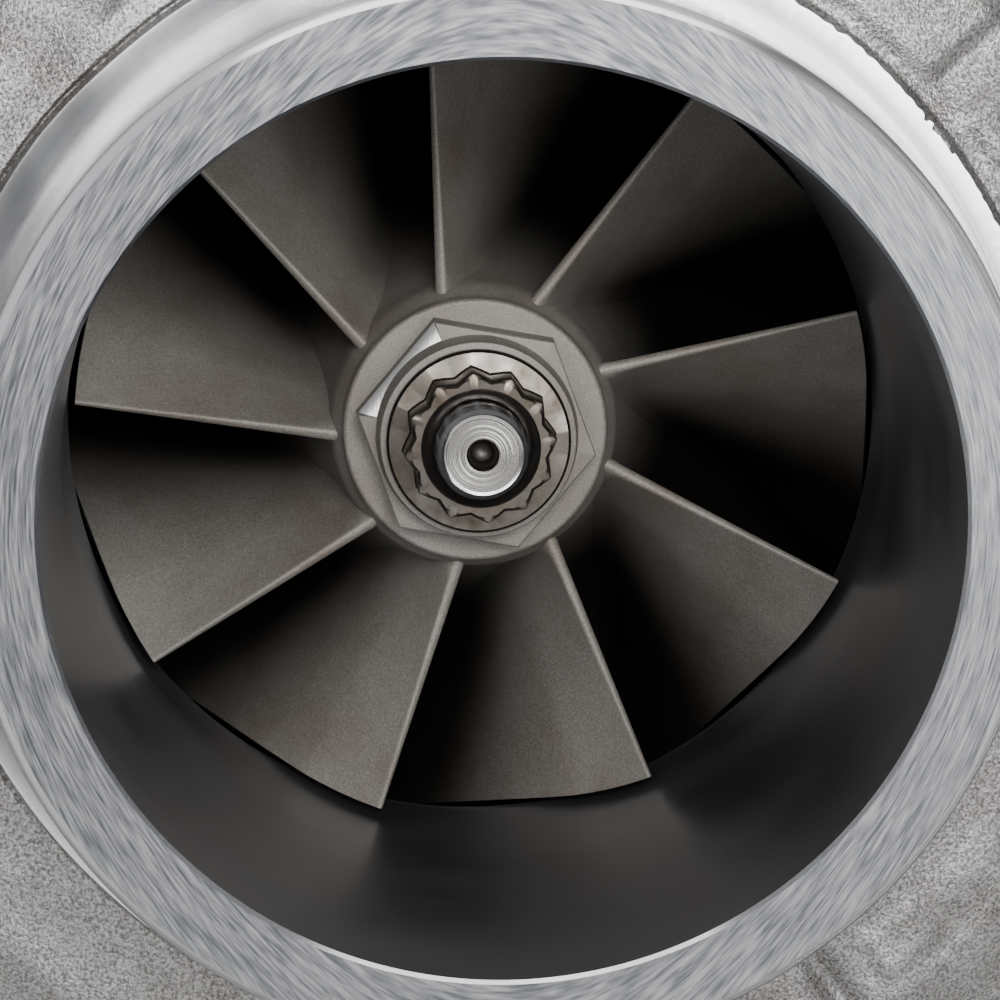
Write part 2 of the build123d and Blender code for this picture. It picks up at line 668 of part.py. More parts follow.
def centre_housing():
    """Cast iron bearing housing with its bores, oil drillings and tapped pads."""
    y, back = CORE_Y, CORE_Y + CORE_L
    body = core_outside()
    body -= turned(
        (0, y - 1), (THRUST_R, y - 1), (THRUST_R, THRUST_Y + THRUST_T),
        (COLLAR_R + 2, THRUST_Y + THRUST_T), (COLLAR_R + 2, y + CORE_SEAT), (0, y + CORE_SEAT),
    )
    body -= disc(CORE_BORE_R, y, HOT_LAND_Y - 0.5)
    body -= disc(HOT_BORE_R, HOT_LAND_Y - 0.5, back + 1)
    for low in clip_places():
        body -= ring(CORE_BORE_R - 1, CORE_BORE_R + 1, low, low + CLIP_T)
    for spot in bolt_spots(CORE_BOLTS, CORE_BOLT_R, y - 1, 45):
        body -= rod(spot, behind(spot, CORE_FLANGE_T + 2), CORE_BOLT_SIZE + 0.3)
    feed_foot = (0, FEED_Y, FEED_Z - 14)
    body -= rod(feed_foot, (0, FEED_Y, FEED_Z + 1), FEED_HOLE_R)
    for bush in (FRONT_BUSH_Y, REAR_BUSH_Y):
        body -= rod((0, y + bush + BUSH_L / 2, CORE_BORE_R - 2), (0, FEED_Y, FEED_Z - 13), 1.2)
    body -= rod((0, FEED_Y, -DRAIN_Z - 1), (0, FEED_Y, -14), DRAIN_R)
    body -= rod((0, FEED_Y, -15), (0, FEED_Y, 0), 2.4)
    for side in (-1, 1):
        x = side * DRAIN_BOLT_X
        body -= rod((x, FEED_Y, -DRAIN_Z - 1), (x, FEED_Y, -DRAIN_Z + 9), BOLT_R)
    return clean(body)


def clip_places():
    """Where the four circlips start: one each side of both bushes."""
    low = [CORE_Y + bush - CLIP_T - 0.2 for bush in (FRONT_BUSH_Y, REAR_BUSH_Y)]
    return low + [CORE_Y + bush + BUSH_L + 0.2 for bush in (FRONT_BUSH_Y, REAR_BUSH_Y)]


def bearing_circlips():
    """Four spring-steel circlips that keep the bushes from sliding."""
    outer = CORE_BORE_R + 0.95
    clips = [split_ring(JOURNAL_R + 0.7, outer, y + 0.03, y + CLIP_T - 0.03, 3) for y in clip_places()]
    return Compound(children=clips)


def heat_shield():
    """Pressed steel dish behind the turbine wheel."""
    rim = JOINT_Y + PILOT_L
    face = TURBINE_Y - 1.2
    return clean(turned(
        (PILOT_R - 0.1, rim), (PILOT_R - 0.1, rim + 1), (34, rim + 1), (31, face), (11.5, face),
        (11.5, face - 1), (30.2, face - 1), (33.2, rim),
    ))


def outlet_outline(near, far):
    """Outline round the wheel's outlet and the wastegate, as one rounded teardrop."""
    circles = Circle(near).edges() + (Pos(CRANK_X + 8, 0) * Circle(far)).edges()
    return make_hull(circles)


def turbine_outside():
    """Outside of the turbine housing's casting."""
    joint = JOINT_Y
    body = turned(
        (0, joint), (CORE_FLANGE_R, joint), (CORE_FLANGE_R, joint + V_FLANGE_T),
        (V_NECK_R, joint + V_FLANGE_T), (V_NECK_R + 1, NOZZLE_Y), (V_NECK_R + 8, NOZZLE_Y + 4),
        (V_NECK_R + 6, SEAT_Y), (0, SEAT_Y),
    )
    body += turbine_scroll(VOLUTE_WALL)
    top = Plane(origin=(FOOT_X, VOLUTE_Y, 0)) * Circle(VOLUTE_MAX_R + VOLUTE_WALL)
    size = [side + 2 * VOLUTE_WALL for side in FOOT_PORT]
    foot = Plane(origin=(FOOT_X, VOLUTE_Y, FOOT_T - FOOT_Z)) * RectangleRounded(*size, 15)
    body += loft([foot, top])
    plate = RectangleRounded(*FOOT_SIZE, 12)
    body += extrude(Plane(origin=(FOOT_X, VOLUTE_Y, -FOOT_Z)) * plate, amount=FOOT_T)
    body += prism(outlet_outline(40, 23), SEAT_Y - 11, OUTLET_Y - OUTLET_FLANGE_T + 1)
    plate = Pos(flange_x(), 0) * RectangleRounded(*OUTLET_FLANGE, 12)
    body += prism(plate, OUTLET_Y - OUTLET_FLANGE_T, OUTLET_Y)
    body += rod((CRANK_X, SEAT_Y + CRANK_Y, 8), (CRANK_X, SEAT_Y + CRANK_Y, LEVER_Z - 2.5), 9.5)
    return body


def flange_x():
    """Centre of the outlet flange and its bolt pattern."""
    return (CRANK_X + 20) / 2


def turbine_inside():
    """What is cut from the casting: pilot, nozzle, wheel bore, scroll, foot port and wastegate."""
    wall = [turbine_shroud(k / 6, TURBINE_GAP) for k in range(7)]
    hollow = turned(
        (0, JOINT_Y - 1), (PILOT_R + SLIP, JOINT_Y - 1), (PILOT_R + SLIP, JOINT_Y + PILOT_L + 1),
        (35.5, JOINT_Y + PILOT_L + 1), (35.5, NOZZLE_Y), (VOLUTE_IN_R + 7, NOZZLE_Y),
        (VOLUTE_IN_R + 7, wall[0][1]), *wall, (TURBINE_EXIT_R + TURBINE_GAP, SEAT_Y + 1),
        (0, SEAT_Y + 1),
    )
    hollow += turbine_scroll(0)
    top = Plane(origin=(FOOT_X, VOLUTE_Y, 0)) * Circle(VOLUTE_MAX_R)
    foot = Plane(origin=(FOOT_X, VOLUTE_Y, -FOOT_Z - 1)) * RectangleRounded(*FOOT_PORT, 10)
    hollow += loft([foot, top])
    hollow += prism(outlet_outline(34, 16), SEAT_Y, OUTLET_Y + 1)
    hollow += rod((GATE_X, SEAT_Y - 21, 0), (GATE_X, SEAT_Y + 1, 0), GATE_PORT_R)
    hole = CRANK_R + BUSH_WALL
    hollow += rod((CRANK_X, SEAT_Y + CRANK_Y, 0), (CRANK_X, SEAT_Y + CRANK_Y, LEVER_Z), hole)
    return hollow


def corners(centre, spacing):
    """The four corners of a rectangular bolt pattern."""
    spots = [(i * spacing[0] / 2, j * spacing[1] / 2) for i in (-1, 1) for j in (-1, 1)]
    return [(centre[0] + a, centre[1] + b) for a, b in spots]


def turbine_housing():
    """Cast iron turbine housing with foot, wastegate port and outlet flange."""
    body = turbine_outside() - turbine_inside()
    for x, y in corners((FOOT_X, VOLUTE_Y), FOOT_BOLTS):
        body -= rod((x, y, -FOOT_Z - 1), (x, y, FOOT_T - FOOT_Z + 1), FOOT_HOLE_R)
    for x, z in corners((flange_x(), 0), OUTLET_BOLTS):
        body -= rod((x, OUTLET_Y - OUTLET_FLANGE_T - 1, z), (x, OUTLET_Y + 1, z), OUTLET_HOLE_R)
    return clean(body)


def v_band():
    """Steel V-band that draws the two flanges together, open at its bolt lugs."""
    wide, slot = V_FLANGE_T + 1.3, V_FLANGE_T + 0.08
    body = turned(
        (V_NECK_R + 1.6, JOINT_Y - wide), (BAND_R, JOINT_Y - wide), (BAND_R, JOINT_Y + wide),
        (V_NECK_R + 1.6, JOINT_Y + wide), (V_NECK_R + 1.6, JOINT_Y + slot),
        (CORE_FLANGE_R + 0.1, JOINT_Y + slot), (CORE_FLANGE_R + 0.1, JOINT_Y - slot),
        (V_NECK_R + 1.6, JOINT_Y - slot),
    )
    for side in (-1, 1):
        z = side * 6.5
        body += block((BAND_R - 1, JOINT_Y - 5, z - 2), (LUG_R + 5, JOINT_Y + 5, z + 2))
    body -= block((V_NECK_R, JOINT_Y - 10, -4.5), (LUG_R + 10, JOINT_Y + 10, 4.5))
    body -= rod((LUG_R, JOINT_Y, -12), (LUG_R, JOINT_Y, 12), 3.3)
    return clean(body.rotate(Axis.Y, -BAND_TURN))


def v_band_bolt():
    """Cross bolt of the V-band."""
    body = rod((LUG_R, JOINT_Y, -8.6), (LUG_R, JOINT_Y, 17), 3.0)
    body += rod((LUG_R, JOINT_Y, -12), (LUG_R, JOINT_Y, -8.6), 5.0)
    return clean(body.rotate(Axis.Y, -BAND_TURN))


def v_band_nut():
    """Self-locking nut of the V-band."""
    plane = Plane(origin=(LUG_R, JOINT_Y, 8.6), z_dir=(0, 0, 1))
    body = extrude(plane * RegularPolygon(5.0, 6, major_radius=False), amount=6)
    body -= rod((LUG_R, JOINT_Y, 8), (LUG_R, JOINT_Y, 16), 3.0 + SLIP)
    return clean(body.rotate(Axis.Y, -BAND_TURN))


def oil_feed_fitting():
    """Screwed oil feed union with a hexagon and a flared end."""
    plane = Plane(origin=(0, FEED_Y, FEED_Z + 1.5), z_dir=(0, 0, 1))
    body = extrude(plane * RegularPolygon(8.5, 6, major_radius=False), amount=7)
    body += rod((0, FEED_Y, FEED_Z - 10), (0, FEED_Y, FEED_Z + 2), FEED_HOLE_R - SLIP)
    body += rod((0, FEED_Y, FEED_Z + 8), (0, FEED_Y, FEED_Z + 20), FITTING_R)
    nose = Plane(origin=(0, FEED_Y, FEED_Z + 20), z_dir=(0, 0, 1))
    body += Solid.make_cone(FITTING_R, 3.2, 3.4, nose)
    return clean(body - rod((0, FEED_Y, FEED_Z - 11), (0, FEED_Y, FEED_Z + 24), 2.0))


def oil_feed_washer():
    """Copper sealing washer under the oil feed union."""
    return clean(tube((0, FEED_Y, FEED_Z), (0, FEED_Y, FEED_Z + 1.5), 8.2, FEED_HOLE_R + 0.05))


def wastegate_bush():
    """Heat-resisting bush that the crank turns in."""
    y = SEAT_Y + CRANK_Y
    outer = CRANK_R + BUSH_WALL - 0.01
    return clean(tube((CRANK_X, y, 14.5), (CRANK_X, y, LEVER_Z - 0.4), outer, CRANK_R + OIL_FILM))


def wastegate_crank():
    """Crank shaft with the cast arm that carries the valve."""
    y = SEAT_Y + CRANK_Y
    body = rod((CRANK_X, y, -7), (CRANK_X, y, LEVER_Z), CRANK_R)
    body += rod((CRANK_X, y, -6), (CRANK_X, y, 6), BARREL_R)
    body += block((CRANK_X, y - 2.6, -5), (GATE_X, y + 2.6, 5))
    body += rod((GATE_X, y - 2.6, 0), (GATE_X, y + 2.6, 0), 5.0)
    return clean(body - rod((GATE_X, y - 4, 0), (GATE_X, y + 4, 0), 2.6))


def wastegate_flap():
    """Valve disc with the stud that holds it in the arm."""
    low = SEAT_Y + SEAT_GAP
    body = rod((GATE_X, low, 0), (GATE_X, low + FLAP_T, 0), FLAP_R)
    body += rod((GATE_X, low + FLAP_T, 0), (GATE_X, SEAT_Y + CRANK_Y + 4.4, 0), 2.5)
    return clean(body)


def wastegate_washer():
    """Washer riveted over the valve's stud."""
    y = SEAT_Y + CRANK_Y
    return clean(tube((GATE_X, y + 2.7, 0), (GATE_X, y + 3.9, 0), 4.6, 2.5 + SLIP))


def wastegate_lever():
    """Outside lever, welded to the crank's end, with a hole for its pin."""
    y = SEAT_Y + CRANK_Y
    side = Vector(PIN_X - CRANK_X, PIN_Y - y, 0)
    length = side.length
    turn = degrees(atan2(side.Y, side.X))
    plane = Plane(origin=(CRANK_X, y, LEVER_Z))
    outline = Rot(0, 0, turn) * (Pos(length / 2, 0) * SlotCenterToCenter(length, 13))
    body = extrude(plane * outline, amount=LEVER_T)
    return clean(body - rod((PIN_X, PIN_Y, LEVER_Z - 1), (PIN_X, PIN_Y, LEVER_Z + 9), PIN_R + SLIP))


def lever_pin():
    """Pin in the outside lever that the rod's eye hangs on."""
    body = rod((PIN_X, PIN_Y, LEVER_Z), (PIN_X, PIN_Y, EYE_Z + EYE_T + 2.6), PIN_R)
    groove = EYE_Z + EYE_T + 0.4
    cut = tube((PIN_X, PIN_Y, groove), (PIN_X, PIN_Y, groove + 1.2), PIN_R + 1, PIN_R - 0.7)
    return clean(body - cut)


def lever_clip():
    """Spring clip that keeps the rod's eye on the pin."""
    low = EYE_Z + EYE_T + 0.45
    body = tube((PIN_X, PIN_Y, low), (PIN_X, PIN_Y, low + 1.1), 5.2, PIN_R - 0.65)
    return clean(body - block((PIN_X, PIN_Y - 1.6, low - 1), (PIN_X + 9, PIN_Y + 1.6, low + 3)))


def rod_eye():
    """Adjustable end of the rod: a threaded sleeve and a flat eye."""
    near, far = PIN_Y - EYE_NECK, PIN_Y - EYE_NECK - EYE_SLEEVE_L
    body = rod((ROD_X, far, ROD_Z), (ROD_X, near, ROD_Z), EYE_SLEEVE_R)
    body += block(
        (ROD_X - EYE_SLEEVE_R, near - 2, EYE_Z), (ROD_X + EYE_SLEEVE_R, PIN_Y, EYE_Z + EYE_T))
    body += rod((ROD_X, PIN_Y, EYE_Z), (ROD_X, PIN_Y, EYE_Z + EYE_T), 7.2)
    body -= rod((ROD_X, PIN_Y, EYE_Z - 1), (ROD_X, PIN_Y, EYE_Z + EYE_T + 1), EYE_R)
    return clean(body - rod((ROD_X, far - 1, ROD_Z), (ROD_X, near - 1, ROD_Z), ROD_R + SLIP))


def actuator_rod():
    """Steel rod from the actuator's piston to the adjustable eye."""
    return clean(rod((ROD_X, ROD_START, ROD_Z), (ROD_X, PIN_Y - EYE_NECK - 1.5, ROD_Z), ROD_R))


def rod_lock_nut():
    """Lock nut against the adjustable eye."""
    body = hex_head((ROD_X, NUT_PLACE, ROD_Z), 10, 3)
    end = (ROD_X, NUT_PLACE + 4, ROD_Z)
    return clean(body - rod((ROD_X, NUT_PLACE - 1, ROD_Z), end, ROD_R + SLIP))


def can_turned(*outline):
    """A solid turned about the actuator's own axis; outline corners are (radius, y)."""
    body = revolve(make_face(Polyline(*outline, close=True)), Axis.Y)
    return Pos(ROD_X, 0, ROD_Z) * body


def actuator_cover():
    """Pressed front half of the actuator's canister."""
    w, front, seam = CAN_WALL, CAN_FRONT, SEAM_Y
    body = can_turned(
        (0, front), (CAN_R - 4, front), (CAN_R, front + 4), (CAN_R, seam - w), (CRIMP_R, seam - w),
        (CRIMP_R, seam), (CAN_R - w, seam), (CAN_R - w, front + 4.6), (CAN_R - 4.4, front + w),
        (0, front + w),
    )
    return clean(body - rod((ROD_X, front + HOSE_IN, ROD_Z), hose_spot(3), 2.0))


def hose_spot(out):
    """A point on the actuator nipple's axis, this far outside the canister."""
    c, s = cos(radians(BRACKET_ANGLE)), sin(radians(BRACKET_ANGLE))
    reach = CAN_R + out
    return (ROD_X + reach * c, CAN_FRONT + HOSE_IN, ROD_Z + reach * s)


def actuator_can():
    """Pressed rear half of the canister, with the hole that the rod passes through."""
    w, back, seam = CAN_WALL, CAN_BACK, SEAM_Y + 1.0
    return clean(can_turned(
        (ROD_R + 1.2, back), (CAN_R - 4, back), (CAN_R, back - 4), (CAN_R, seam + w), (CRIMP_R, seam + w),
        (CRIMP_R, seam), (CAN_R - w, seam), (CAN_R - w, back - 4.6), (CAN_R - 4.4, back - w),
        (ROD_R + 1.2, back - w),
    ))


def actuator_diaphragm():
    """Rubber diaphragm, nipped in the canister's seam, with its roll beside the piston."""
    low, high = SEAM_Y, SEAM_Y + 1.0
    return clean(can_turned((0, low), (CRIMP_R - 0.4, low), (CRIMP_R - 0.4, high), (0, high)))


def actuator_piston():
    """Pressed cup between the diaphragm and the spring."""
    low = SEAM_Y + 1.35
    return clean(can_turned(
        (0, low), (PISTON_R, low), (PISTON_R, low + 4), (PISTON_R - 1.2, low + 4),
        (PISTON_R - 1.2, low + 1.2), (0, low + 1.2),
    ))


def actuator_spring():
    """Coil spring that holds the wastegate shut."""
    wire, coil = 1.0, 12.0
    low, high = SEAM_Y + 2.7 + wire, CAN_BACK - CAN_WALL - 0.15 - wire
    turns = 4
    path = Helix(pitch=(high - low) / turns, height=high - low, radius=coil)
    start = path @ 0
    section = Plane(origin=start, z_dir=path % 0) * Circle(wire)
    body = sweep(section, path=path)
    return clean(Pos(ROD_X, low, ROD_Z) * (Rot(-90, 0, 0) * body))


def stud_spots(y):
    """The actuator's two mounting studs, either side of its rod."""
    c, s = cos(radians(BRACKET_ANGLE)), sin(radians(BRACKET_ANGLE))
    return [(ROD_X - side * STUD_X * s, y, ROD_Z + side * STUD_X * c) for side in (-1, 1)]


def actuator_studs():
    """Two studs welded to the canister's back."""
    spots = stud_spots(CAN_BACK)
    return Compound(children=[clean(rod(p, behind(p, 12), BRACKET_BOLT_R)) for p in spots])


def actuator_nuts():
    """Nuts on the actuator's studs."""
    nuts = []
    for spot in stud_spots(CAN_BACK + BRACKET_T):
        body = hex_head(spot, 10, 5) - rod(spot, behind(spot, 6), BRACKET_BOLT_R + SLIP)
        nuts.append(clean(body))
    return Compound(children=nuts)


def actuator_bracket():
    """Bent steel bracket from the compressor cover's ring to the actuator's back."""
    side, t = CRIMP_R + 1.2, BRACKET_T
    low, high = CORE_Y, CAN_BACK
    half = BRACKET_W / 2
    web_in, web_out = COVER_BOLT_R + 3.5, ROD_OUT_R + 12
    body = block((DIFFUSER_R + 2, low, -half - 3), (web_in, low + t, half + 3))
    body += block((web_in - 1, low, -half - 3), (web_out, low + t, side + t))
    body += block((web_in, low, side), (web_out, high + t, side + t))
    body += block((ROD_OUT_R - 14, high, -half - 8), (web_out, high + t, side + t))
    body -= rod((ROD_OUT_R, high - 1, 0), (ROD_OUT_R, high + t + 1, 0), ROD_R + 2.5)
    for z in (-STUD_X, STUD_X):
        body -= rod((ROD_OUT_R, high - 1, z), (ROD_OUT_R, high + t + 1, z), BRACKET_BOLT_R + 0.3)
    body = body.rotate(Axis.Y, -BRACKET_ANGLE)
    for spot in bracket_bolt_spots(low - 1):
        body -= rod(spot, behind(spot, t + 2), BRACKET_BOLT_R + 0.3)
    return clean(body)


def nipple(base, direction, thread):
    """Brass hose nipple: thread, hexagon and barbed stem, from its seat outwards."""
    out = Vector(*direction).normalized()
    at = Vector(*base)

    def spot(distance):
        return tuple(at + out * distance)

    body = rod(spot(-thread), spot(1), NIPPLE_HOLE_R - SLIP)
    plane = Plane(origin=spot(0), z_dir=out)
    body += extrude(plane * RegularPolygon(4.5, 6, major_radius=False), amount=4)
    body += rod(spot(3), spot(18), 2.3)
    for k in range(2):
        barb = Plane(origin=spot(12 + 3 * k), z_dir=out)
        body += Solid.make_cone(3.1, 2.3, 2.6, barb)
    return clean(body - rod(spot(-thread - 1), spot(20), 1.3))


def actuator_nipple():
    """Steel hose nipple brazed into the actuator's cover."""
    body = tube(hose_spot(0.1), hose_spot(16), 2.4, 1.3)
    body += tube(hose_spot(12), hose_spot(14), 3.0, 1.3)
    return clean(body)


def write(name, shape):
    """One node's STEP file."""
    export_step(shape, f"parts/{name}.step")


NODES = {
    "compressor_housing": compressor_housing,
    "backplate": backplate,
    "backplate_o_ring": backplate_o_ring,
    "cover_clamp_plates": cover_clamp_plates,
    "cover_bolts": lambda: headed_bolts(
        cover_bolt_spots(CORE_Y + CLAMP_T), BOLT_R, BOLT_L - 0.2, 13, 5.3),
    "compressor_wheel": compressor_wheel,
    "compressor_nut": compressor_nut,
    "rotor_shaft": shaft,
    "oil_flinger": oil_flinger,
    "front_seal_ring": lambda: split_ring(
        FLINGER_R - RING_IN + 0.1, SEAL_BORE_R, FLINGER_RING_Y + 0.05,
        FLINGER_RING_Y + RING_W - 0.05, 0.4),
    "thrust_collar": thrust_collar,
    "thrust_washer": thrust_washer,
    "thrust_bearing": thrust_bearing,
    "oil_deflector": oil_deflector,
    "centre_housing": centre_housing,
    "core_bolts": lambda: headed_bolts(
        bolt_spots(CORE_BOLTS, CORE_BOLT_R, CORE_Y + CORE_FLANGE_T, 45), CORE_BOLT_SIZE,
        CORE_FLANGE_T + 6.5, 10, 4),
    "front_journal_bush": lambda: journal_bush(CORE_Y + FRONT_BUSH_Y),
    "rear_journal_bush": lambda: journal_bush(CORE_Y + REAR_BUSH_Y),
    "bearing_circlips": bearing_circlips,
    "rear_seal_ring": lambda: split_ring(
        HOT_LAND_R - RING_IN + 0.1, HOT_BORE_R, HOT_RING_Y + 0.05, HOT_RING_Y + RING_W - 0.05, 0.4),
    "heat_shield": heat_shield,
    "turbine_wheel": turbine_wheel,
    "turbine_housing": turbine_housing,
    "v_band": v_band,
    "v_band_bolt": v_band_bolt,
    "v_band_nut": v_band_nut,
    "oil_feed_fitting": oil_feed_fitting,
    "oil_feed_washer": oil_feed_washer,
    "wastegate_bush": wastegate_bush,
    "wastegate_crank": wastegate_crank,
    "wastegate_flap": wastegate_flap,
    "wastegate_washer": wastegate_washer,
    "wastegate_lever": wastegate_lever,
    "lever_pin": lever_pin,
    "lever_clip": lever_clip,
    "rod_eye": rod_eye,
    "rod_lock_nut": rod_lock_nut,
    "actuator_rod": actuator_rod,
    "actuator_piston": actuator_piston,
    "actuator_spring": actuator_spring,
    "actuator_diaphragm": actuator_diaphragm,
    "actuator_cover": actuator_cover,
    "actuator_can": actuator_can,
    "actuator_studs": actuator_studs,
    "actuator_nuts": actuator_nuts,
    "actuator_bracket": actuator_bracket,
    "bracket_bolts": lambda: headed_bolts(
        bracket_bolt_spots(CORE_Y + BRACKET_T), BRACKET_BOLT_R, BRACKET_T + THREAD_DEPTH - 1, 10, 4),
    "pressure_nipple": lambda: nipple(nipple_seat(), (1, 0, 0), 5),
    "actuator_nipple": actuator_nipple,
}

os.makedirs("parts", exist_ok=True)
for node, make in NODES.items():
    write(node, make())
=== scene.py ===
"""Turbocharger seen into its compressor inlet, built in the order in which it is put together.

The shaft lies along Y, the inlet faces -Y and +Z is up. Sizes are named in millimetres.
"""
import bmesh
import bpy
import json
import math
import numpy as np
from mathutils import Matrix, Vector


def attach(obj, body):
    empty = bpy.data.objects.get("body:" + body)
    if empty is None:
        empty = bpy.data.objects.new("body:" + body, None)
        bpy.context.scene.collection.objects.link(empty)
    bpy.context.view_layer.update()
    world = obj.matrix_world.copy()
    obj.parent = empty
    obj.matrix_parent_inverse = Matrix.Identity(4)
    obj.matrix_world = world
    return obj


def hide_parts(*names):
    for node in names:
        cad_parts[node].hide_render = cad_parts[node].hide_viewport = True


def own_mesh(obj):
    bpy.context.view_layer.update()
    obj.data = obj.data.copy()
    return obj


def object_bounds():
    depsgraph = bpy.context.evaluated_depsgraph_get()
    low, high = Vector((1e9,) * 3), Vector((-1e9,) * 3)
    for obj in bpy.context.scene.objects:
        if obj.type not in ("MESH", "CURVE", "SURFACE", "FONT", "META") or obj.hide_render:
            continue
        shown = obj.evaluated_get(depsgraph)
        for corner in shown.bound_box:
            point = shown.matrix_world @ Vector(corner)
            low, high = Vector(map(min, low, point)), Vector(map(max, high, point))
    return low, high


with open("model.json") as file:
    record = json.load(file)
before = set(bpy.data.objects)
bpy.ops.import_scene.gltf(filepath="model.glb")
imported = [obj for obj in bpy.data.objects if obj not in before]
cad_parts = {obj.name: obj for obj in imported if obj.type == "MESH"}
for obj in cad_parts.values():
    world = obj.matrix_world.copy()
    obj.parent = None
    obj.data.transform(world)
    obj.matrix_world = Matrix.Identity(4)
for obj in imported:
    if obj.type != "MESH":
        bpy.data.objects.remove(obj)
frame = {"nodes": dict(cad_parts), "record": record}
cad_low, cad_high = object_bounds()
cad = frame["nodes"]

# ---------------------------------------------------------------------------------------------
# Compressor cover, inlet spigot and bore. The cover is a sand casting in aluminium alloy. Its
# face is milled, and the hose seat, the shoulder groove and the bore are turned in one setting.
# ---------------------------------------------------------------------------------------------
MM = 0.001
SPIGOT_R = 38.0
SPIGOT_ROOT_R = 39.46
SPIGOT_L = 20.5
SPIGOT_LEAD_R = 38.73
SPIGOT_LEAD_L = 1.9
EDGE_BREAK = 0.06
MOUTH_R = 33.07
MOUTH_CHAMFER = 0.3
MOUTH_CONE_L = 36.0
BORE_R = 31.4
INDUCER_R = 30.6
INDUCER_Y = 49.0
SHROUD_LEAD_L = 4.0
SHROUD_LEAD = 0.15
WHEEL_R = 41.0
WHEEL_BACK = 77.0
WHEEL_DISC_T = 0.8
WHEEL_TIP_W = 4.0
WHEEL_GAP = 0.45
DIFFUSER_FRONT = 72.0
GROOVE_W = 0.35
GROOVE_R = SPIGOT_ROOT_R + GROOVE_W


def skin(name, points, round_rows=True, round_columns=True, sharp=32.0):
    """A mesh over a grid of points: the face at i, j joins that point to its next neighbours."""
    rows, columns = points.shape[:2]
    i = np.arange(rows if round_rows else rows - 1)[:, None]
    j = np.arange(columns if round_columns else columns - 1)[None, :]
    down, right = (i + 1) % rows, (j + 1) % columns
    corners = [i * columns + j, i * columns + right, down * columns + right, down * columns + j]
    faces = np.stack(np.broadcast_arrays(*corners), axis=-1).reshape(-1, 4)
    spots = points.reshape(-1, 3)
    a, b, c, d = (spots[faces[:, k]] for k in range(4))
    if np.einsum("ij,ij->i", a + b + c + d, np.cross(c - a, d - b)).sum() < 0:
        faces = faces[:, ::-1]
    mesh = bpy.data.meshes.new(name)
    mesh.from_pydata(spots.tolist(), [], faces.tolist())
    made = bmesh.new()
    made.from_mesh(mesh)
    bmesh.ops.remove_doubles(made, verts=made.verts, dist=1e-6)
    made.to_mesh(mesh)
    made.free()
    mesh.shade_smooth()
    mesh.set_sharp_from_angle(angle=math.radians(sharp))
    piece = bpy.data.objects.new(name, mesh)
    bpy.context.scene.collection.objects.link(piece)
    return piece


def arc(middle, radius, start, end, count):
    """Points (r, y) = middle + radius (cos t, sin t) with t from start to end in degrees."""
    t = np.radians(np.linspace(start, end, count))
    return list(zip(middle[0] + radius * np.cos(t), middle[1] + radius * np.sin(t)))


def turned(name, outline, steps=720, sharp=32.0):
    """A closed outline (r, y) carried round the shaft: x = r cos a, z = r sin a."""
    r, y = np.array(outline, float).T * MM
    a = np.linspace(0, 2 * np.pi, steps, endpoint=False)[:, None]
    return skin(name, np.stack([r * np.cos(a), y + 0 * a, r * np.sin(a)], -1), sharp=sharp)


def curve(start, end, share):
    """A quarter ellipse that leaves start along Y and reaches end outwards."""
    t = share * np.pi / 2
    r = start[0] + (end[0] - start[0]) * (1 - np.cos(t))
    return r, start[1] + (end[1] - start[1]) * np.sin(t)


def shroud(share, gap=0.0):
    """The blades' outer edge: straight for its lead, then a quarter ellipse, moved out by gap."""
    share = np.asarray(share, float)
    rest = np.clip((share - SHROUD_LEAD) / (1 - SHROUD_LEAD), 0, 1)
    start, end = (INDUCER_R, INDUCER_Y + SHROUD_LEAD_L), (WHEEL_R, WHEEL_BACK - WHEEL_DISC_T - WHEEL_TIP_W)
    r, y = curve(start, end, rest)
    y = y - SHROUD_LEAD_L * np.clip(1 - share / SHROUD_LEAD, 0, 1)
    return r + gap * np.cos(rest * np.pi / 2), y - gap * np.sin(rest * np.pi / 2)


wall_r, wall_y = shroud(np.linspace(0.2, 1, 14), WHEEL_GAP)
face_outline = [(MOUTH_R + MOUTH_CHAMFER - 0.02, 0.0), (SPIGOT_R - EDGE_BREAK, 0.0)]
flank_outline = [
    (SPIGOT_R, EDGE_BREAK), (SPIGOT_LEAD_R - 0.03, 1.5), (SPIGOT_LEAD_R, SPIGOT_LEAD_L),
    *[(SPIGOT_LEAD_R + (SPIGOT_ROOT_R - SPIGOT_LEAD_R) * t, SPIGOT_LEAD_L + (SPIGOT_L - SPIGOT_LEAD_L) * t)
      for t in (0.25, 0.5, 0.75)],
    (SPIGOT_ROOT_R, SPIGOT_L), (SPIGOT_ROOT_R, SPIGOT_L + GROOVE_W),
]
hidden_outline = [
    (GROOVE_R, SPIGOT_L + GROOVE_W), (GROOVE_R + 0.05, SPIGOT_L + 1.2), (41.2, 24.0), (42.0, 54.0),
    (46.0, 62.0), (57.0, 69.0), (57.0, DIFFUSER_FRONT),
]
bore_outline = [
    (WHEEL_R + 2.3, DIFFUSER_FRONT), *zip(wall_r[::-1], wall_y[::-1]), (BORE_R, INDUCER_Y),
    (BORE_R, 42.0), (BORE_R, MOUTH_CONE_L + 0.6), (BORE_R + 0.02, MOUTH_CONE_L),
    *[(BORE_R + (MOUTH_R - BORE_R) * t, MOUTH_CONE_L + (MOUTH_CHAMFER - MOUTH_CONE_L) * t)
      for t in (0.25, 0.5, 0.75)],
    (MOUTH_R, MOUTH_CHAMFER + 0.02),
]
before_bore = face_outline + flank_outline + hidden_outline
whole_outline = before_bore + bore_outline
spigot = turned("cover_spigot", whole_outline)


def linear(colour):
    """An sRGB hex colour as linear red, green, blue and a full alpha."""
    parts = [int(colour[k:k + 2], 16) / 255 for k in (1, 3, 5)]
    return [p / 12.92 if p <= 0.04045 else ((p + 0.055) / 1.055) ** 2.4 for p in parts] + [1.0]


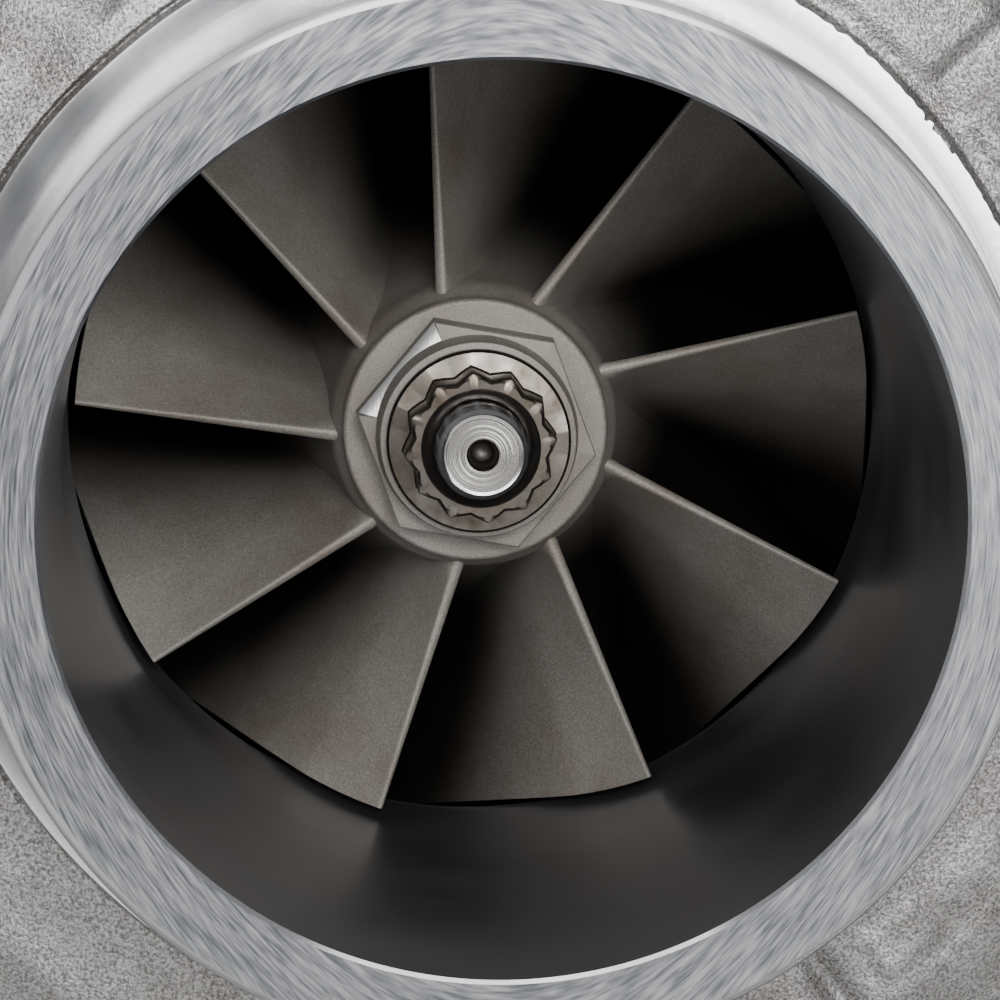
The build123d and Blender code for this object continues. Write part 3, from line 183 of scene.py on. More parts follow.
def add(tree, kind, sockets=None, **settings):
    """Adds a node, sets its settings, and fills its inputs with values, nodes or their outputs."""
    made = tree.nodes.new(kind)
    for key, value in settings.items():
        setattr(made, key, value)
    for key, value in (sockets or {}).items():
        if isinstance(value, bpy.types.Node):
            value = value.outputs[0]
        if isinstance(value, bpy.types.NodeSocket):
            tree.links.new(value, made.inputs[key])
        else:
            made.inputs[key].default_value = value
    return made


def finish(name, colour, metallic, roughness):
    """A new material: itself, its node tree, its surface shader and the object coordinates."""
    material = bpy.data.materials.new(name)
    material.use_nodes = True
    tree = material.node_tree
    shader = tree.nodes["Principled BSDF"]
    shader.inputs["Base Color"].default_value = linear(colour)
    shader.inputs["Metallic"].default_value = metallic
    shader.inputs["Roughness"].default_value = roughness
    spot = add(tree, "ShaderNodeTexCoord").outputs["Object"]
    return material, tree, shader, spot


def wear(piece, material, keep=None):
    """Gives a piece its material; keep, a mask over faces, limits it to those."""
    piece.data.materials.append(material)
    if keep is not None:
        index = np.zeros(len(piece.data.polygons), np.int32)
        piece.data.polygons.foreach_get("material_index", index)
        index[keep] = len(piece.data.materials) - 1
        piece.data.polygons.foreach_set("material_index", index)
    return piece


# Milled aluminium: a cutter has left fine bright lines, 0.1 to 0.3 mm apart and a few millimetres
# long, which are steeper than the rim is: they follow x2 + z2 (1.036 - 0.395 z2 / R2).
milled, tree, shader, spot = finish("milled_aluminium_face", "#C9CBCC", 1.0, 0.34)
part = add(tree, "ShaderNodeSeparateXYZ", {0: spot})
x2 = add(tree, "ShaderNodeMath", {0: part.outputs["X"], 1: part.outputs["X"]}, operation="MULTIPLY")
z2 = add(tree, "ShaderNodeMath", {0: part.outputs["Z"], 1: part.outputs["Z"]}, operation="MULTIPLY")
bend = add(tree, "ShaderNodeMath", {0: z2, 1: -0.395 / (SPIGOT_R * MM) ** 2, 2: 1.036}, operation="MULTIPLY_ADD")
sweep = add(tree, "ShaderNodeMath", {0: z2, 1: bend, 2: x2}, operation="MULTIPLY_ADD")
across = add(tree, "ShaderNodeMath", {0: sweep, 1: 1 / (2 * SPIGOT_R * MM)}, operation="MULTIPLY")
lines = []
for pitch, run in ((0.1, 2.0), (0.16, 4.0)):
    along = [add(tree, "ShaderNodeMath", {0: part.outputs[axis], 1: 1 / (run * MM)}, operation="MULTIPLY")
             for axis in "XZ"]
    cut = add(tree, "ShaderNodeMath", {0: across, 1: 1 / (pitch * MM)}, operation="MULTIPLY")
    where = add(tree, "ShaderNodeCombineXYZ", {0: cut, 1: along[0], 2: along[1]})
    lines.append(add(tree, "ShaderNodeTexNoise", {"Vector": where, "Scale": 1.0, "Detail": 1.0, "Roughness": 0.6}))
both = add(tree, "ShaderNodeMath", {0: lines[0], 1: lines[1]}, operation="ADD")
height = add(tree, "ShaderNodeMapRange", {"Value": both, "From Min": 0.72, "From Max": 1.28})
bump = add(tree, "ShaderNodeBump", {"Strength": 0.1, "Distance": 0.00002, "Height": height})
tree.links.new(bump.outputs[0], shader.inputs["Normal"])
rough = add(tree, "ShaderNodeMapRange", {"Value": height, "To Min": 0.29, "To Max": 0.37})
tree.links.new(rough.outputs[0], shader.inputs["Roughness"])
tint = add(tree, "ShaderNodeMix", {0: height, 6: linear("#74767A"), 7: linear("#A9AAAC")}, data_type="RGBA")
tree.links.new(tint.outputs[2], shader.inputs["Base Color"])

# Turned aluminium: the tool's feed leaves rings round the shaft, 0.1 mm apart, very shallow, so
# it mirrors in bands. Radius and depth drive the rings and the angle does not.
turned_al, tree, shader, spot = finish("turned_aluminium", "#D4D5D7", 1.0, 0.2)
part = add(tree, "ShaderNodeSeparateXYZ", {0: spot})
flat = add(tree, "ShaderNodeCombineXYZ", {0: part.outputs["X"], 1: part.outputs["Z"]})
radius = add(tree, "ShaderNodeVectorMath", {0: flat}, operation="LENGTH").outputs["Value"]
way = add(tree, "ShaderNodeMath", {0: radius, 1: part.outputs["Y"]}, operation="ADD")
rings = add(tree, "ShaderNodeMath", {0: way, 1: 1 / (0.1 * MM)}, operation="MULTIPLY")
where = add(tree, "ShaderNodeCombineXYZ", {0: rings})
feed = add(tree, "ShaderNodeTexNoise", {"Vector": where, "Scale": 1.0, "Detail": 2.0})
bump = add(tree, "ShaderNodeBump", {"Strength": 0.12, "Distance": 0.00002, "Height": feed})
tree.links.new(bump.outputs[0], shader.inputs["Normal"])
dull = add(tree, "ShaderNodeTexNoise", {"Vector": spot, "Scale": 90.0, "Detail": 4.0})
rough = add(tree, "ShaderNodeMapRange", {"Value": dull, "From Min": 0.3, "From Max": 0.7,
                                        "To Min": 0.14, "To Max": 0.27})
tree.links.new(rough.outputs[0], shader.inputs["Roughness"])

# Bored aluminium, deep in the inlet: finely turned and smooth, and coloured darker than the turned outside: painted
# shade for the inside of the inlet.
bored, tree, shader, spot = finish("bored_aluminium_with_painted_shade", "#A2A4A9", 1.0, 0.32)
part = add(tree, "ShaderNodeSeparateXYZ", {0: spot})
rings = add(tree, "ShaderNodeMath", {0: part.outputs["Y"], 1: 1 / (0.25 * MM)}, operation="MULTIPLY")
where = add(tree, "ShaderNodeCombineXYZ", {0: rings})
feed = add(tree, "ShaderNodeTexNoise", {"Vector": where, "Scale": 1.0, "Detail": 3.0})
bump = add(tree, "ShaderNodeBump", {"Strength": 0.1, "Distance": 0.00002, "Height": feed})
tree.links.new(bump.outputs[0], shader.inputs["Normal"])
smear = add(tree, "ShaderNodeTexNoise", {"Vector": spot, "Scale": 60.0, "Detail": 5.0})
rough = add(tree, "ShaderNodeMapRange", {"Value": smear, "From Min": 0.3, "From Max": 0.7,
                                        "To Min": 0.29, "To Max": 0.4})
tree.links.new(rough.outputs[0], shader.inputs["Roughness"])

column = np.arange(len(spigot.data.polygons)) % len(whole_outline)
wear(spigot, turned_al)
wear(spigot, milled, column < len(face_outline) - 1)
# Painted shade: the bore takes the darker aluminium colour.
wear(spigot, bored, (column >= len(before_bore) - 1) & (column < len(whole_outline) - 1))
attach(spigot, "housing")
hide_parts("compressor_housing")

# ---------------------------------------------------------------------------------------------
# Compressor cover, raw casting round the spigot. The shoulder is turned flat and its outer edge
# is torn at the upper right, where the cut runs out into the sand-cast skin with its pads.
# ---------------------------------------------------------------------------------------------
SHOULDER_R = 41.6
TORN_AT = 45.0
STEP_AT, STEP_DEPTH, STEP_FROM_EDGE, STEP_W = 150.0, 0.8, 0.32, 0.22
# The slope of the neck behind the shoulder: radius and how far back.
NECK_R = (41.6, 42.1, 50.0, 56.0, 57.5, 59.0)
NECK_Y = (20.8, 21.5, 23.5, 27.5, 30.0, 34.5)
# Raised pads: height, first and last angle, inner and outer radius, width of their sides.
PADS = ((0.8, 41.2, 60.8, 42.5, 70.0, 1.9), (0.8, 30.2, 38.8, 42.7, 70.0, 2.0), (0.5, -53.0, -44.5, 43.6, 49.0, 1.6))
# Valleys: depth, angle, width, inner radius.
VALLEYS = ((0.8, 128.5, 2.4, 43.8), (1.2, -56.5, 1.9, 42.3))


def lumps(x, z, size, seed, waves=14):
    """A smooth uneven height of about one: a sum of sine waves of random directions and phases."""
    random = np.random.default_rng(seed)
    total = 0.0
    for turn, phase, stretch in random.random((waves, 3)):
        k = 2 * np.pi / (size * (0.6 + stretch))
        total = total + np.sin(k * (x * np.cos(6.3 * turn) + z * np.sin(6.3 * turn)) + 6.3 * phase)
    return total / math.sqrt(waves / 2)


def rise(value, width):
    """A smooth step from 0 to 1 over the width."""
    t = np.clip(value / width, 0, 1)
    return t * t * (3 - 2 * t)


def pad(theta, r, start, end, inner, outer, edge):
    """A plateau between two angles and two radii, with sides of the given width."""
    side = rise(np.radians(theta - start) * r, edge) * rise(np.radians(end - theta) * r, edge)
    return side * rise(r - inner, edge) * rise(outer - r, edge)


def valley(theta, r, angle, width, inner):
    """A radial groove of bell-shaped section, from the inner radius outwards."""
    across = np.radians(theta - angle) * r / width
    return np.exp(-across ** 2 * 2.8) * rise(r - inner, 1.2)


steps = 1440
theta = np.linspace(-180, 180, steps, endpoint=False)[:, None]
turn = np.radians(theta)
torn = np.clip(np.cos(np.radians(theta - TORN_AT)), 0, 1) ** 2
edge_x, edge_z = np.cos(turn) * SHOULDER_R, np.sin(turn) * SHOULDER_R
ragged = 0.045 * torn * lumps(edge_x, edge_z, 0.9, 3)
edge_r = SHOULDER_R + ragged + 0.05 * lumps(edge_x, edge_z, 12, 4)
cast_r = np.concatenate([np.linspace(0.1, 1.2, 11), np.linspace(1.5, 15.0, 44)])[None, :]
r = edge_r + cast_r
x, z = r * np.cos(turn), r * np.sin(turn)
height = 0.10 * lumps(x, z, 8, 5) + 0.008 * lumps(x, z, 1.8, 6)
step = np.exp(-((cast_r - STEP_FROM_EDGE) / STEP_W) ** 2) * np.clip(np.cos(np.radians(theta - STEP_AT)), 0, 1)
height = height - STEP_DEPTH * step
for rise_by, *place in PADS:
    height = height + rise_by * pad(theta, r, *place)
for drop_by, *place in VALLEYS:
    height = height - drop_by * valley(theta, r, *place)
near = 1 - rise(r - 55.0, 3.0)
y = np.maximum(np.interp(r, NECK_R, NECK_Y) - height * near, SPIGOT_L + 0.1)
flat_r = np.array([[GROOVE_R, GROOVE_R, GROOVE_R + 0.35]]) + 0 * edge_r
flat_y = np.array([[SPIGOT_L + 1.5, SPIGOT_L, SPIGOT_L]]) + 0 * edge_r
lip_r = np.concatenate([edge_r - 0.3, edge_r], 1)
lip_y = np.array([[SPIGOT_L, SPIGOT_L + 0.04]]) + 0 * edge_r
under_r = np.array([[54.0, 43.4]]) + 0 * edge_r
under_y = np.array([[36.0, 25.0]]) + 0 * edge_r
all_r = np.concatenate([flat_r, lip_r, r, under_r], 1) * MM
all_y = np.concatenate([flat_y, lip_y, y, under_y], 1) * MM
front = skin("cover_front_casting", np.stack([all_r * np.cos(turn), all_y, all_r * np.sin(turn)], -1), sharp=50)

# Sand-cast aluminium: the grains of the mould, about 0.3 mm, have left a fine pitting with bright
# tops over a duller, softly mottled grey.
cast_al, tree, shader, spot = finish("sand_cast_aluminium", "#B4B4B5", 1.0, 0.5)
grain = add(tree, "ShaderNodeTexNoise", {"Vector": spot, "Scale": 1 / (0.26 * MM), "Detail": 2.0, "Roughness": 0.7})
bump = add(tree, "ShaderNodeBump", {"Strength": 0.9, "Distance": 0.00014, "Height": grain})
tree.links.new(bump.outputs[0], shader.inputs["Normal"])
mottle = add(tree, "ShaderNodeTexNoise", {"Vector": spot, "Scale": 160.0, "Detail": 4.0})
shade = add(tree, "ShaderNodeMapRange", {"Value": mottle, "From Min": 0.3, "From Max": 0.7})
tint = add(tree, "ShaderNodeMix", {0: shade, 6: linear("#918E8C"), 7: linear("#AEADAC")}, data_type="RGBA")
sparkle = add(tree, "ShaderNodeMapRange", {"Value": grain, "From Min": 0.36, "From Max": 0.66,
                                          "To Min": 0.5, "To Max": 1.55})
sand = add(tree, "ShaderNodeMix", {0: 1.0, 6: tint.outputs[2], 7: sparkle}, data_type="RGBA", blend_type="MULTIPLY")
tree.links.new(sand.outputs[2], shader.inputs["Base Color"])
rough = add(tree, "ShaderNodeMapRange", {"Value": grain, "From Min": 0.3, "From Max": 0.7,
                                        "To Min": 0.56, "To Max": 0.36})
tree.links.new(rough.outputs[0], shader.inputs["Roughness"])
columns = all_r.shape[1]
wear(front, cast_al)
wear(front, turned_al, np.arange(len(front.data.polygons)) % columns < 4)
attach(front, "housing")
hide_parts("compressor_housing")

# ---------------------------------------------------------------------------------------------
# Compressor cover, scroll and outlet. The rest of the same casting, with the rounded edges that
# a sand mould leaves; its outlet spigot is turned and sawn off square.
# ---------------------------------------------------------------------------------------------
OUTLET_X, OUTLET_Y = 76.0, 57.5
OUTLET_R, OUTLET_BORE_R = 25.4, 22.0
OUTLET_LOW, OUTLET_TOP = 63.0, 98.0
VOXEL = 1.7


def baked(piece):
    """The piece with its modifiers carried out."""
    mesh = bpy.data.meshes.new_from_object(piece.evaluated_get(bpy.context.evaluated_depsgraph_get()))
    piece.modifiers.clear()
    old = piece.data
    piece.data = mesh
    bpy.data.meshes.remove(old)
    return piece


def upright(name, outline):
    """A closed outline (r, z) carried round the outlet's axis: x and y = axis + r (cos a, sin a)."""
    r, z = np.array(outline, float).T * MM
    a = np.linspace(0, 2 * np.pi, 360, endpoint=False)[:, None]
    return skin(name, np.stack([OUTLET_X * MM + r * np.cos(a), OUTLET_Y * MM + r * np.sin(a), z + 0 * a], -1))


scroll = bpy.data.objects.new("cover_scroll", cad["compressor_housing"].data.copy())
bpy.context.scene.collection.objects.link(scroll)
merged = bmesh.new()
merged.from_mesh(scroll.data)
bmesh.ops.remove_doubles(merged, verts=merged.verts, dist=1e-6)
merged.to_mesh(scroll.data)
merged.free()
scroll.modifiers.new("mould", "REMESH").voxel_size = VOXEL * MM
soften = scroll.modifiers.new("fillets", "SMOOTH")
soften.factor, soften.iterations = 0.5, 5
baked(scroll)
front_cut = turned("front_cut", [
    (0, -5), (56.3, -5), (56.3, 30.5), (54.3, 35.0), (41.6, 26.0), (41.6, 53.5), (45.7, 61.8),
    (56.7, 68.8), (56.7, 73.0), (0, 73.0)], 180)
top_cut = upright("top_cut", [(0, 120), (32, 120), (32, OUTLET_LOW + 1.5), (0, OUTLET_LOW + 1.5)])
for cutter in (front_cut, top_cut):
    cut = scroll.modifiers.new("machining", "BOOLEAN")
    cut.operation, cut.solver, cut.object = "DIFFERENCE", "EXACT", cutter
baked(scroll)
for cutter in (front_cut, top_cut):
    bpy.data.objects.remove(cutter)
scroll.data.shade_smooth()
scroll.data.set_sharp_from_angle(angle=math.radians(50))
scroll.data.materials.clear()
wear(scroll, cast_al)
outlet = upright("cover_outlet", [
    (OUTLET_BORE_R, OUTLET_LOW), (24.6, OUTLET_LOW), (OUTLET_R, OUTLET_LOW + 3.0), (OUTLET_R, 80.0),
    (OUTLET_R, OUTLET_TOP - 0.8), (OUTLET_R - 0.3, OUTLET_TOP - 0.2), (OUTLET_R - 0.8, OUTLET_TOP),
    (OUTLET_BORE_R + 0.4, OUTLET_TOP), (OUTLET_BORE_R, OUTLET_TOP - 0.4)])
wear(outlet, cast_al)
for piece in (scroll, outlet):
    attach(piece, "housing")
    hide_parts("compressor_housing")

# ---------------------------------------------------------------------------------------------
# Compressor wheel. One casting in aluminium alloy, left as cast with a dark skin: nose disc,
# hexagon, boss, hub and nine full blades. One side of the hexagon is ground to balance it.
# ---------------------------------------------------------------------------------------------
BLADES = 9
# Depths over which the wheel's colour is darkened into painted shade deep in the passages.
PAINTED_SHADE_START_Y, PAINTED_SHADE_FULL_Y = 51.5, 64.5
HUB_R = 11.0
FIRST_BLADE = -23.7
BLADE_LEAN = -6.9
NOSE_R = 10.1
NOSE_Y = 46.9
HEX_Y = 44.0
NUT_Y = 41.6


def hub(share):
    """The hub between the blades: a quarter ellipse from the nose to the rim."""
    return curve((HUB_R, INDUCER_Y), (WHEEL_R, WHEEL_BACK - WHEEL_DISC_T), share)


hub_r, hub_y = hub(np.linspace(0.03, 1, 40))
wheel_outline = [
    (3.62, NOSE_Y), (NOSE_R - 0.35, NOSE_Y), *arc((NOSE_R - 0.35, NOSE_Y + 0.35), 0.35, -75, 0, 5),
    (NOSE_R + 0.02, NOSE_Y + 0.9), (NOSE_R + 0.2, NOSE_Y + 1.5), (NOSE_R + 0.6, NOSE_Y + 2.1),
    *zip(hub_r, hub_y), (WHEEL_R, WHEEL_BACK - 0.1), (WHEEL_R - 0.1, WHEEL_BACK),
    (12.0, WHEEL_BACK), (3.62, WHEEL_BACK),
]
wheel_hub = turned("wheel_hub", wheel_outline, 360)

SPANS = 26
CHORD = 56
EDGE_T = 0.42
ROOT_FILLET = 1.5


def around(r, angle, y):
    """Points at radius r and angle in degrees about the shaft."""
    return np.stack([r * np.cos(np.radians(angle)), y, r * np.sin(np.radians(angle))], -1)


share = np.linspace(0, 1, CHORD) ** 1.35
span = np.concatenate([[-0.03], np.linspace(0, 0.12, 8), np.linspace(0.16, 1, SPANS - 9)])
wrap = 30 * (1 - (1 - share) ** 2) + 27 * share
root = -BLADE_LEAN + FIRST_BLADE - wrap
foot_r, foot_y = hub(share)
tip_r, tip_y = shroud(share)
foot = around(foot_r, root, foot_y)
tip = around(tip_r, root + BLADE_LEAN * (1 - share), tip_y)
mean = foot[None] + (tip - foot)[None] * span[:, None, None]
along = np.gradient(mean, axis=1)
up = np.gradient(mean, span, axis=0)
side = np.cross(along, up)
side /= np.linalg.norm(side, axis=-1, keepdims=True)
height = np.linalg.norm(mean - foot[None], axis=-1)
body_t = EDGE_T + (0.95 - EDGE_T) * np.minimum(1, 3 * share)[None]
fillet = ROOT_FILLET * np.exp(-height / 0.75) * np.clip(share * 8, 0, 1)[None] ** 0.5
half = (body_t / 2 + 0.25 * (1 - span[:, None]) + fillet / 2)[..., None]
nose = along[:, :1] / np.linalg.norm(along[:, :1], axis=-1, keepdims=True)
bulge = np.radians([40.0, 75.0, 105.0, 140.0])[None, :, None]
lead = mean[:, :1] - side[:, :1] * half[:, :1] * np.cos(bulge) - nose * half[:, :1] * np.sin(bulge) * 0.55
loop = np.concatenate([(mean + side * half)[:, ::-1], lead[:, ::-1], mean - side * half], 1)
cap = loop[-1:] * 0.5 + loop[-1:, ::-1] * 0.5
blade_points = np.concatenate([loop, cap], 0) * MM
foot_cap = loop[:1] * 0.5 + loop[:1, ::-1] * 0.5
blade_points = np.concatenate([foot_cap * MM, blade_points], 0)
blades = []
for k in range(BLADES):
    a = 2 * np.pi * k / BLADES
    spin = np.array([[np.cos(a), 0, -np.sin(a)], [0, 1, 0], [np.sin(a), 0, np.cos(a)]])
    blades.append(skin(f"wheel_blade_{k + 1}", blade_points @ spin.T, False, True, sharp=40))

HEX_AF = 16.0
HEX_TURN = -10.0
GROUND_FROM, GROUND_TO = 110.0, 170.0
GROUND_W = 2.6
GROUND_L = 0.85
BOSS_R = 7.5
turn = np.linspace(0, 2 * np.pi, 720, endpoint=False)
side_turn = (np.degrees(turn) - HEX_TURN) % 60 - 30
hex_r = HEX_AF / 2 / np.cos(np.radians(side_turn))
ground = (np.degrees(turn) > GROUND_FROM) & (np.degrees(turn) < GROUND_TO)
hex_levels = [(-0.3, 0.0), (-0.1, 0.04), (0.0, 0.16), (0.0, 0.3), (0.0, 0.5), (0.0, 0.7), (0.0, 0.88), (0.0, 3.2)]
rows = []
for grow, depth in hex_levels:
    level_r = hex_r + grow
    cut = GROUND_W * max(0.0, 1 - depth / GROUND_L) ** 1.25
    chord = (HEX_AF / 2 - cut) / np.cos(np.radians(side_turn))
    level_r = np.where(ground, np.minimum(level_r, chord), level_r)
    rows.append(np.stack([level_r * np.cos(turn), np.full_like(turn, HEX_Y + depth), level_r * np.sin(turn)], -1))
for ring_r, ring_y in ((3.62, HEX_Y + 3.2), (3.62, HEX_Y)):
    rows.append(np.stack([ring_r * np.cos(turn), np.full_like(turn, ring_y), ring_r * np.sin(turn)], -1))
hexagon = skin("wheel_hexagon", np.stack(rows, 1) * MM, True, True, sharp=28)
boss = turned("wheel_boss", [
    (3.62, NUT_Y), (BOSS_R - 0.3, NUT_Y), (BOSS_R - 0.08, NUT_Y + 0.08), (BOSS_R, NUT_Y + 0.3),
    (BOSS_R + 0.02, HEX_Y - 0.4), (BOSS_R + 0.25, HEX_Y + 0.05), (BOSS_R, HEX_Y + 0.4), (3.62, HEX_Y + 0.4),
], 360)

# As-cast wheel alloy: a dark warm grey oxide skin with a fine sandy grain, and faint brown
# stains. It scatters light more than bare metal does. Towards the bottom of the passages its colour
# and specular are darkened to near black: painted shade for the shadow deep between the blades.
cast_wheel, tree, shader, spot = finish("dark_as_cast_alloy_with_painted_passage_shade", "#7A7470", 0.35, 0.55)
grain = add(tree, "ShaderNodeTexNoise", {"Vector": spot, "Scale": 1 / (0.16 * MM), "Detail": 3.0, "Roughness": 0.6})
bump = add(tree, "ShaderNodeBump", {"Strength": 0.5, "Distance": 0.00004, "Height": grain})
tree.links.new(bump.outputs[0], shader.inputs["Normal"])
cloud = add(tree, "ShaderNodeTexNoise", {"Vector": spot, "Scale": 130.0, "Detail": 5.0, "Roughness": 0.6})
stain = add(tree, "ShaderNodeMapRange", {"Value": cloud, "From Min": 0.42, "From Max": 0.72})
tint = add(tree, "ShaderNodeMix", {0: stain, 6: linear("#848079"), 7: linear("#766C63")}, data_type="RGBA")
speck = add(tree, "ShaderNodeMapRange", {"Value": grain, "From Min": 0.35, "From Max": 0.7,
                                        "To Min": 0.75, "To Max": 1.25})
grey = add(tree, "ShaderNodeMix", {0: 1.0, 6: tint.outputs[2], 7: speck}, data_type="RGBA", blend_type="MULTIPLY")
part = add(tree, "ShaderNodeSeparateXYZ", {0: spot})
# Painted shade: colour and specular fall to near black with depth into the passages.
deep = add(tree, "ShaderNodeMapRange", {"Value": part.outputs["Y"], "From Min": PAINTED_SHADE_START_Y * MM,
                                       "From Max": PAINTED_SHADE_FULL_Y * MM, "To Min": 1.0, "To Max": 0.05},
           interpolation_type="SMOOTHSTEP")
dark = add(tree, "ShaderNodeMix", {0: 1.0, 6: grey.outputs[2], 7: deep}, data_type="RGBA", blend_type="MULTIPLY")
tree.links.new(dark.outputs[2], shader.inputs["Base Color"])
shine = add(tree, "ShaderNodeMath", {0: deep, 1: 0.5}, operation="MULTIPLY")
tree.links.new(shine.outputs[0], shader.inputs["Specular IOR Level"])
rough = add(tree, "ShaderNodeMapRange", {"Value": grain, "To Min": 0.42, "To Max": 0.66})
tree.links.new(rough.outputs[0], shader.inputs["Roughness"])

# Ground flat: bright bare metal with coarse parallel grinding marks.
ground_al, tree, shader, spot = finish("ground_bare_alloy", "#C4C2BF", 1.0, 0.28)
place = add(tree, "ShaderNodeMapping", {"Vector": spot, "Rotation": (0, math.radians(-50), 0),
                                       "Scale": (1 / (0.15 * MM), 1 / (3 * MM), 1 / (6 * MM))})
marks = add(tree, "ShaderNodeTexNoise", {"Vector": place, "Scale": 1.0, "Detail": 3.0})
bump = add(tree, "ShaderNodeBump", {"Strength": 0.5, "Distance": 0.00003, "Height": marks})
tree.links.new(bump.outputs[0], shader.inputs["Normal"])

for piece in (wheel_hub, *blades, hexagon, boss):
    wear(piece, cast_wheel)
    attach(piece, "rotor")
    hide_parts("compressor_wheel")
levels = len(rows)
face_angle = np.degrees(turn)[np.arange(len(hexagon.data.polygons)) // levels]
face_level = np.arange(len(hexagon.data.polygons)) % levels
wear(hexagon, ground_al, (face_angle > GROUND_FROM) & (face_angle < GROUND_TO) & (face_level < 6))

# ---------------------------------------------------------------------------------------------
# Wheel nut. Flanged twelve-point lock nut in oiled steel with a left-hand thread, tightened on
# the boss. Its mouth is countersunk, and the countersink and bore are coloured dark: painted shade.
# ---------------------------------------------------------------------------------------------
FLANGE_R = 7.0
FLANGE_Y = 40.6
POINT_R = 5.8
NUT_FACE_Y = 37.0
SINK_R = 4.4
THREAD_R = 3.5
turn = np.linspace(0, 2 * np.pi, 720, endpoint=False)
twelve = (np.degrees(turn) - 6.0) % 30 - 15
valley_r = POINT_R * math.cos(math.radians(30)) / math.cos(math.radians(15))
star = valley_r + (POINT_R - valley_r) * (np.abs(twelve) / 15) ** 1.15


def level(radius, y):
    """One closed ring of points at height y, at a radius that may vary with the angle."""
    radius = radius + 0 * turn
    return np.stack([radius * np.cos(turn), y + 0 * turn, radius * np.sin(turn)], -1)


nut_rings = [
    level(THREAD_R + 0.03, 41.58), level(FLANGE_R - 0.15, 41.58), level(FLANGE_R, 41.4),
    level(FLANGE_R, FLANGE_Y + 0.25), level(FLANGE_R - 0.2, FLANGE_Y), level(star + 0.12, FLANGE_Y - 0.18),
    level(star, FLANGE_Y - 0.4), level(star, NUT_FACE_Y + 0.5), level(star - 0.12, NUT_FACE_Y + 0.16),
    level(np.minimum(star - 0.3, 5.2), NUT_FACE_Y), level(SINK_R + 0.12, NUT_FACE_Y),
    level(SINK_R, NUT_FACE_Y + 0.08), level(THREAD_R + 0.25, NUT_FACE_Y + 0.9),
    level(THREAD_R + 0.03, NUT_FACE_Y + 1.4),
]
nut = skin("wheel_nut", np.stack(nut_rings, 1) * MM, sharp=26)

# Oiled steel: turned and rolled, warm grey, with a thin uneven oil film and a little brown.
oiled, tree, shader, spot = finish("oiled_steel", "#8A837A", 1.0, 0.3)
cloud = add(tree, "ShaderNodeTexNoise", {"Vector": spot, "Scale": 420.0, "Detail": 5.0, "Roughness": 0.6})
stain = add(tree, "ShaderNodeMapRange", {"Value": cloud, "From Min": 0.35, "From Max": 0.7})
tint = add(tree, "ShaderNodeMix", {0: stain, 6: linear("#77726C"), 7: linear("#4C4339")}, data_type="RGBA")
tree.links.new(tint.outputs[2], shader.inputs["Base Color"])
rough = add(tree, "ShaderNodeMapRange", {"Value": cloud, "From Min": 0.3, "From Max": 0.7,
                                        "To Min": 0.24, "To Max": 0.42})
tree.links.new(rough.outputs[0], shader.inputs["Roughness"])
fine = add(tree, "ShaderNodeTexNoise", {"Vector": spot, "Scale": 1 / (0.12 * MM), "Detail": 2.0})
bump = add(tree, "ShaderNodeBump", {"Strength": 0.25, "Distance": 0.00002, "Height": fine})
tree.links.new(bump.outputs[0], shader.inputs["Normal"])

# Dark steel for the nut's countersink and bore and the shaft's centre hole: painted shade in these recesses.
black, tree, shader, spot = finish("dark_steel_painted_recess_shade", "#4A4643", 0.9, 0.36)
cloud = add(tree, "ShaderNodeTexNoise", {"Vector": spot, "Scale": 900.0, "Detail": 4.0})
rough = add(tree, "ShaderNodeMapRange", {"Value": cloud, "To Min": 0.3, "To Max": 0.55})
tree.links.new(rough.outputs[0], shader.inputs["Roughness"])
bump = add(tree, "ShaderNodeBump", {"Strength": 0.2, "Distance": 0.00002, "Height": cloud})
tree.links.new(bump.outputs[0], shader.inputs["Normal"])
wear(nut, oiled)
ring = np.arange(len(nut.data.polygons)) % len(nut_rings)
# Painted shade: the countersink and the nut's bore take the dark steel.
wear(nut, black, ring >= 11)
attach(nut, "rotor")
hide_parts("compressor_nut")

# ---------------------------------------------------------------------------------------------
# Shaft end. Ground steel with a rolled thread of 1 mm pitch, faced off with fine turning rings
# and a centre hole.
# ---------------------------------------------------------------------------------------------
SHAFT_END_Y = 33.5
PITCH = 1.0
turn = np.linspace(0, 2 * np.pi, 180, endpoint=False)
depth = np.linspace(0, 6.0, 97)
phase = ((depth[None, :] / PITCH) + turn[:, None] / (2 * np.pi)) % 1.0
tooth = 1 - np.abs(2 * phase - 1)
thread_r = THREAD_R - 0.02 - 0.5 * np.clip(1.25 * tooth - 0.12, 0, 1)
thread_r = np.minimum(thread_r, THREAD_R - 0.45 + depth[None, :] * 1.1)
thread_y = SHAFT_END_Y + 0.02 + depth[None, :] + 0 * turn[:, None]
face_r = np.array([0.0, 0.8, 1.0, 1.14, 1.25, 2.2, 2.72, 2.8, 2.88])[None, :] + 0 * turn[:, None]
face_y = SHAFT_END_Y + np.array([3.0, 2.4, 0.9, 0.12, 0.0, 0.0, 0.0, 0.1, 0.1])[None, :] + 0 * turn[:, None]
back_r = np.array([3.0, 0.0])[None, :] + 0 * turn[:, None]
back_y = np.array([SHAFT_END_Y + 6.3, SHAFT_END_Y + 6.3])[None, :] + 0 * turn[:, None]
stud_r = np.concatenate([face_r, thread_r, back_r], 1)
stud_y = np.concatenate([face_y, thread_y, back_y], 1)
stud_points = np.stack([stud_r * np.cos(turn)[:, None], stud_y, stud_r * np.sin(turn)[:, None]], -1)
stud = skin("shaft_thread", stud_points * MM, True, False, sharp=40)

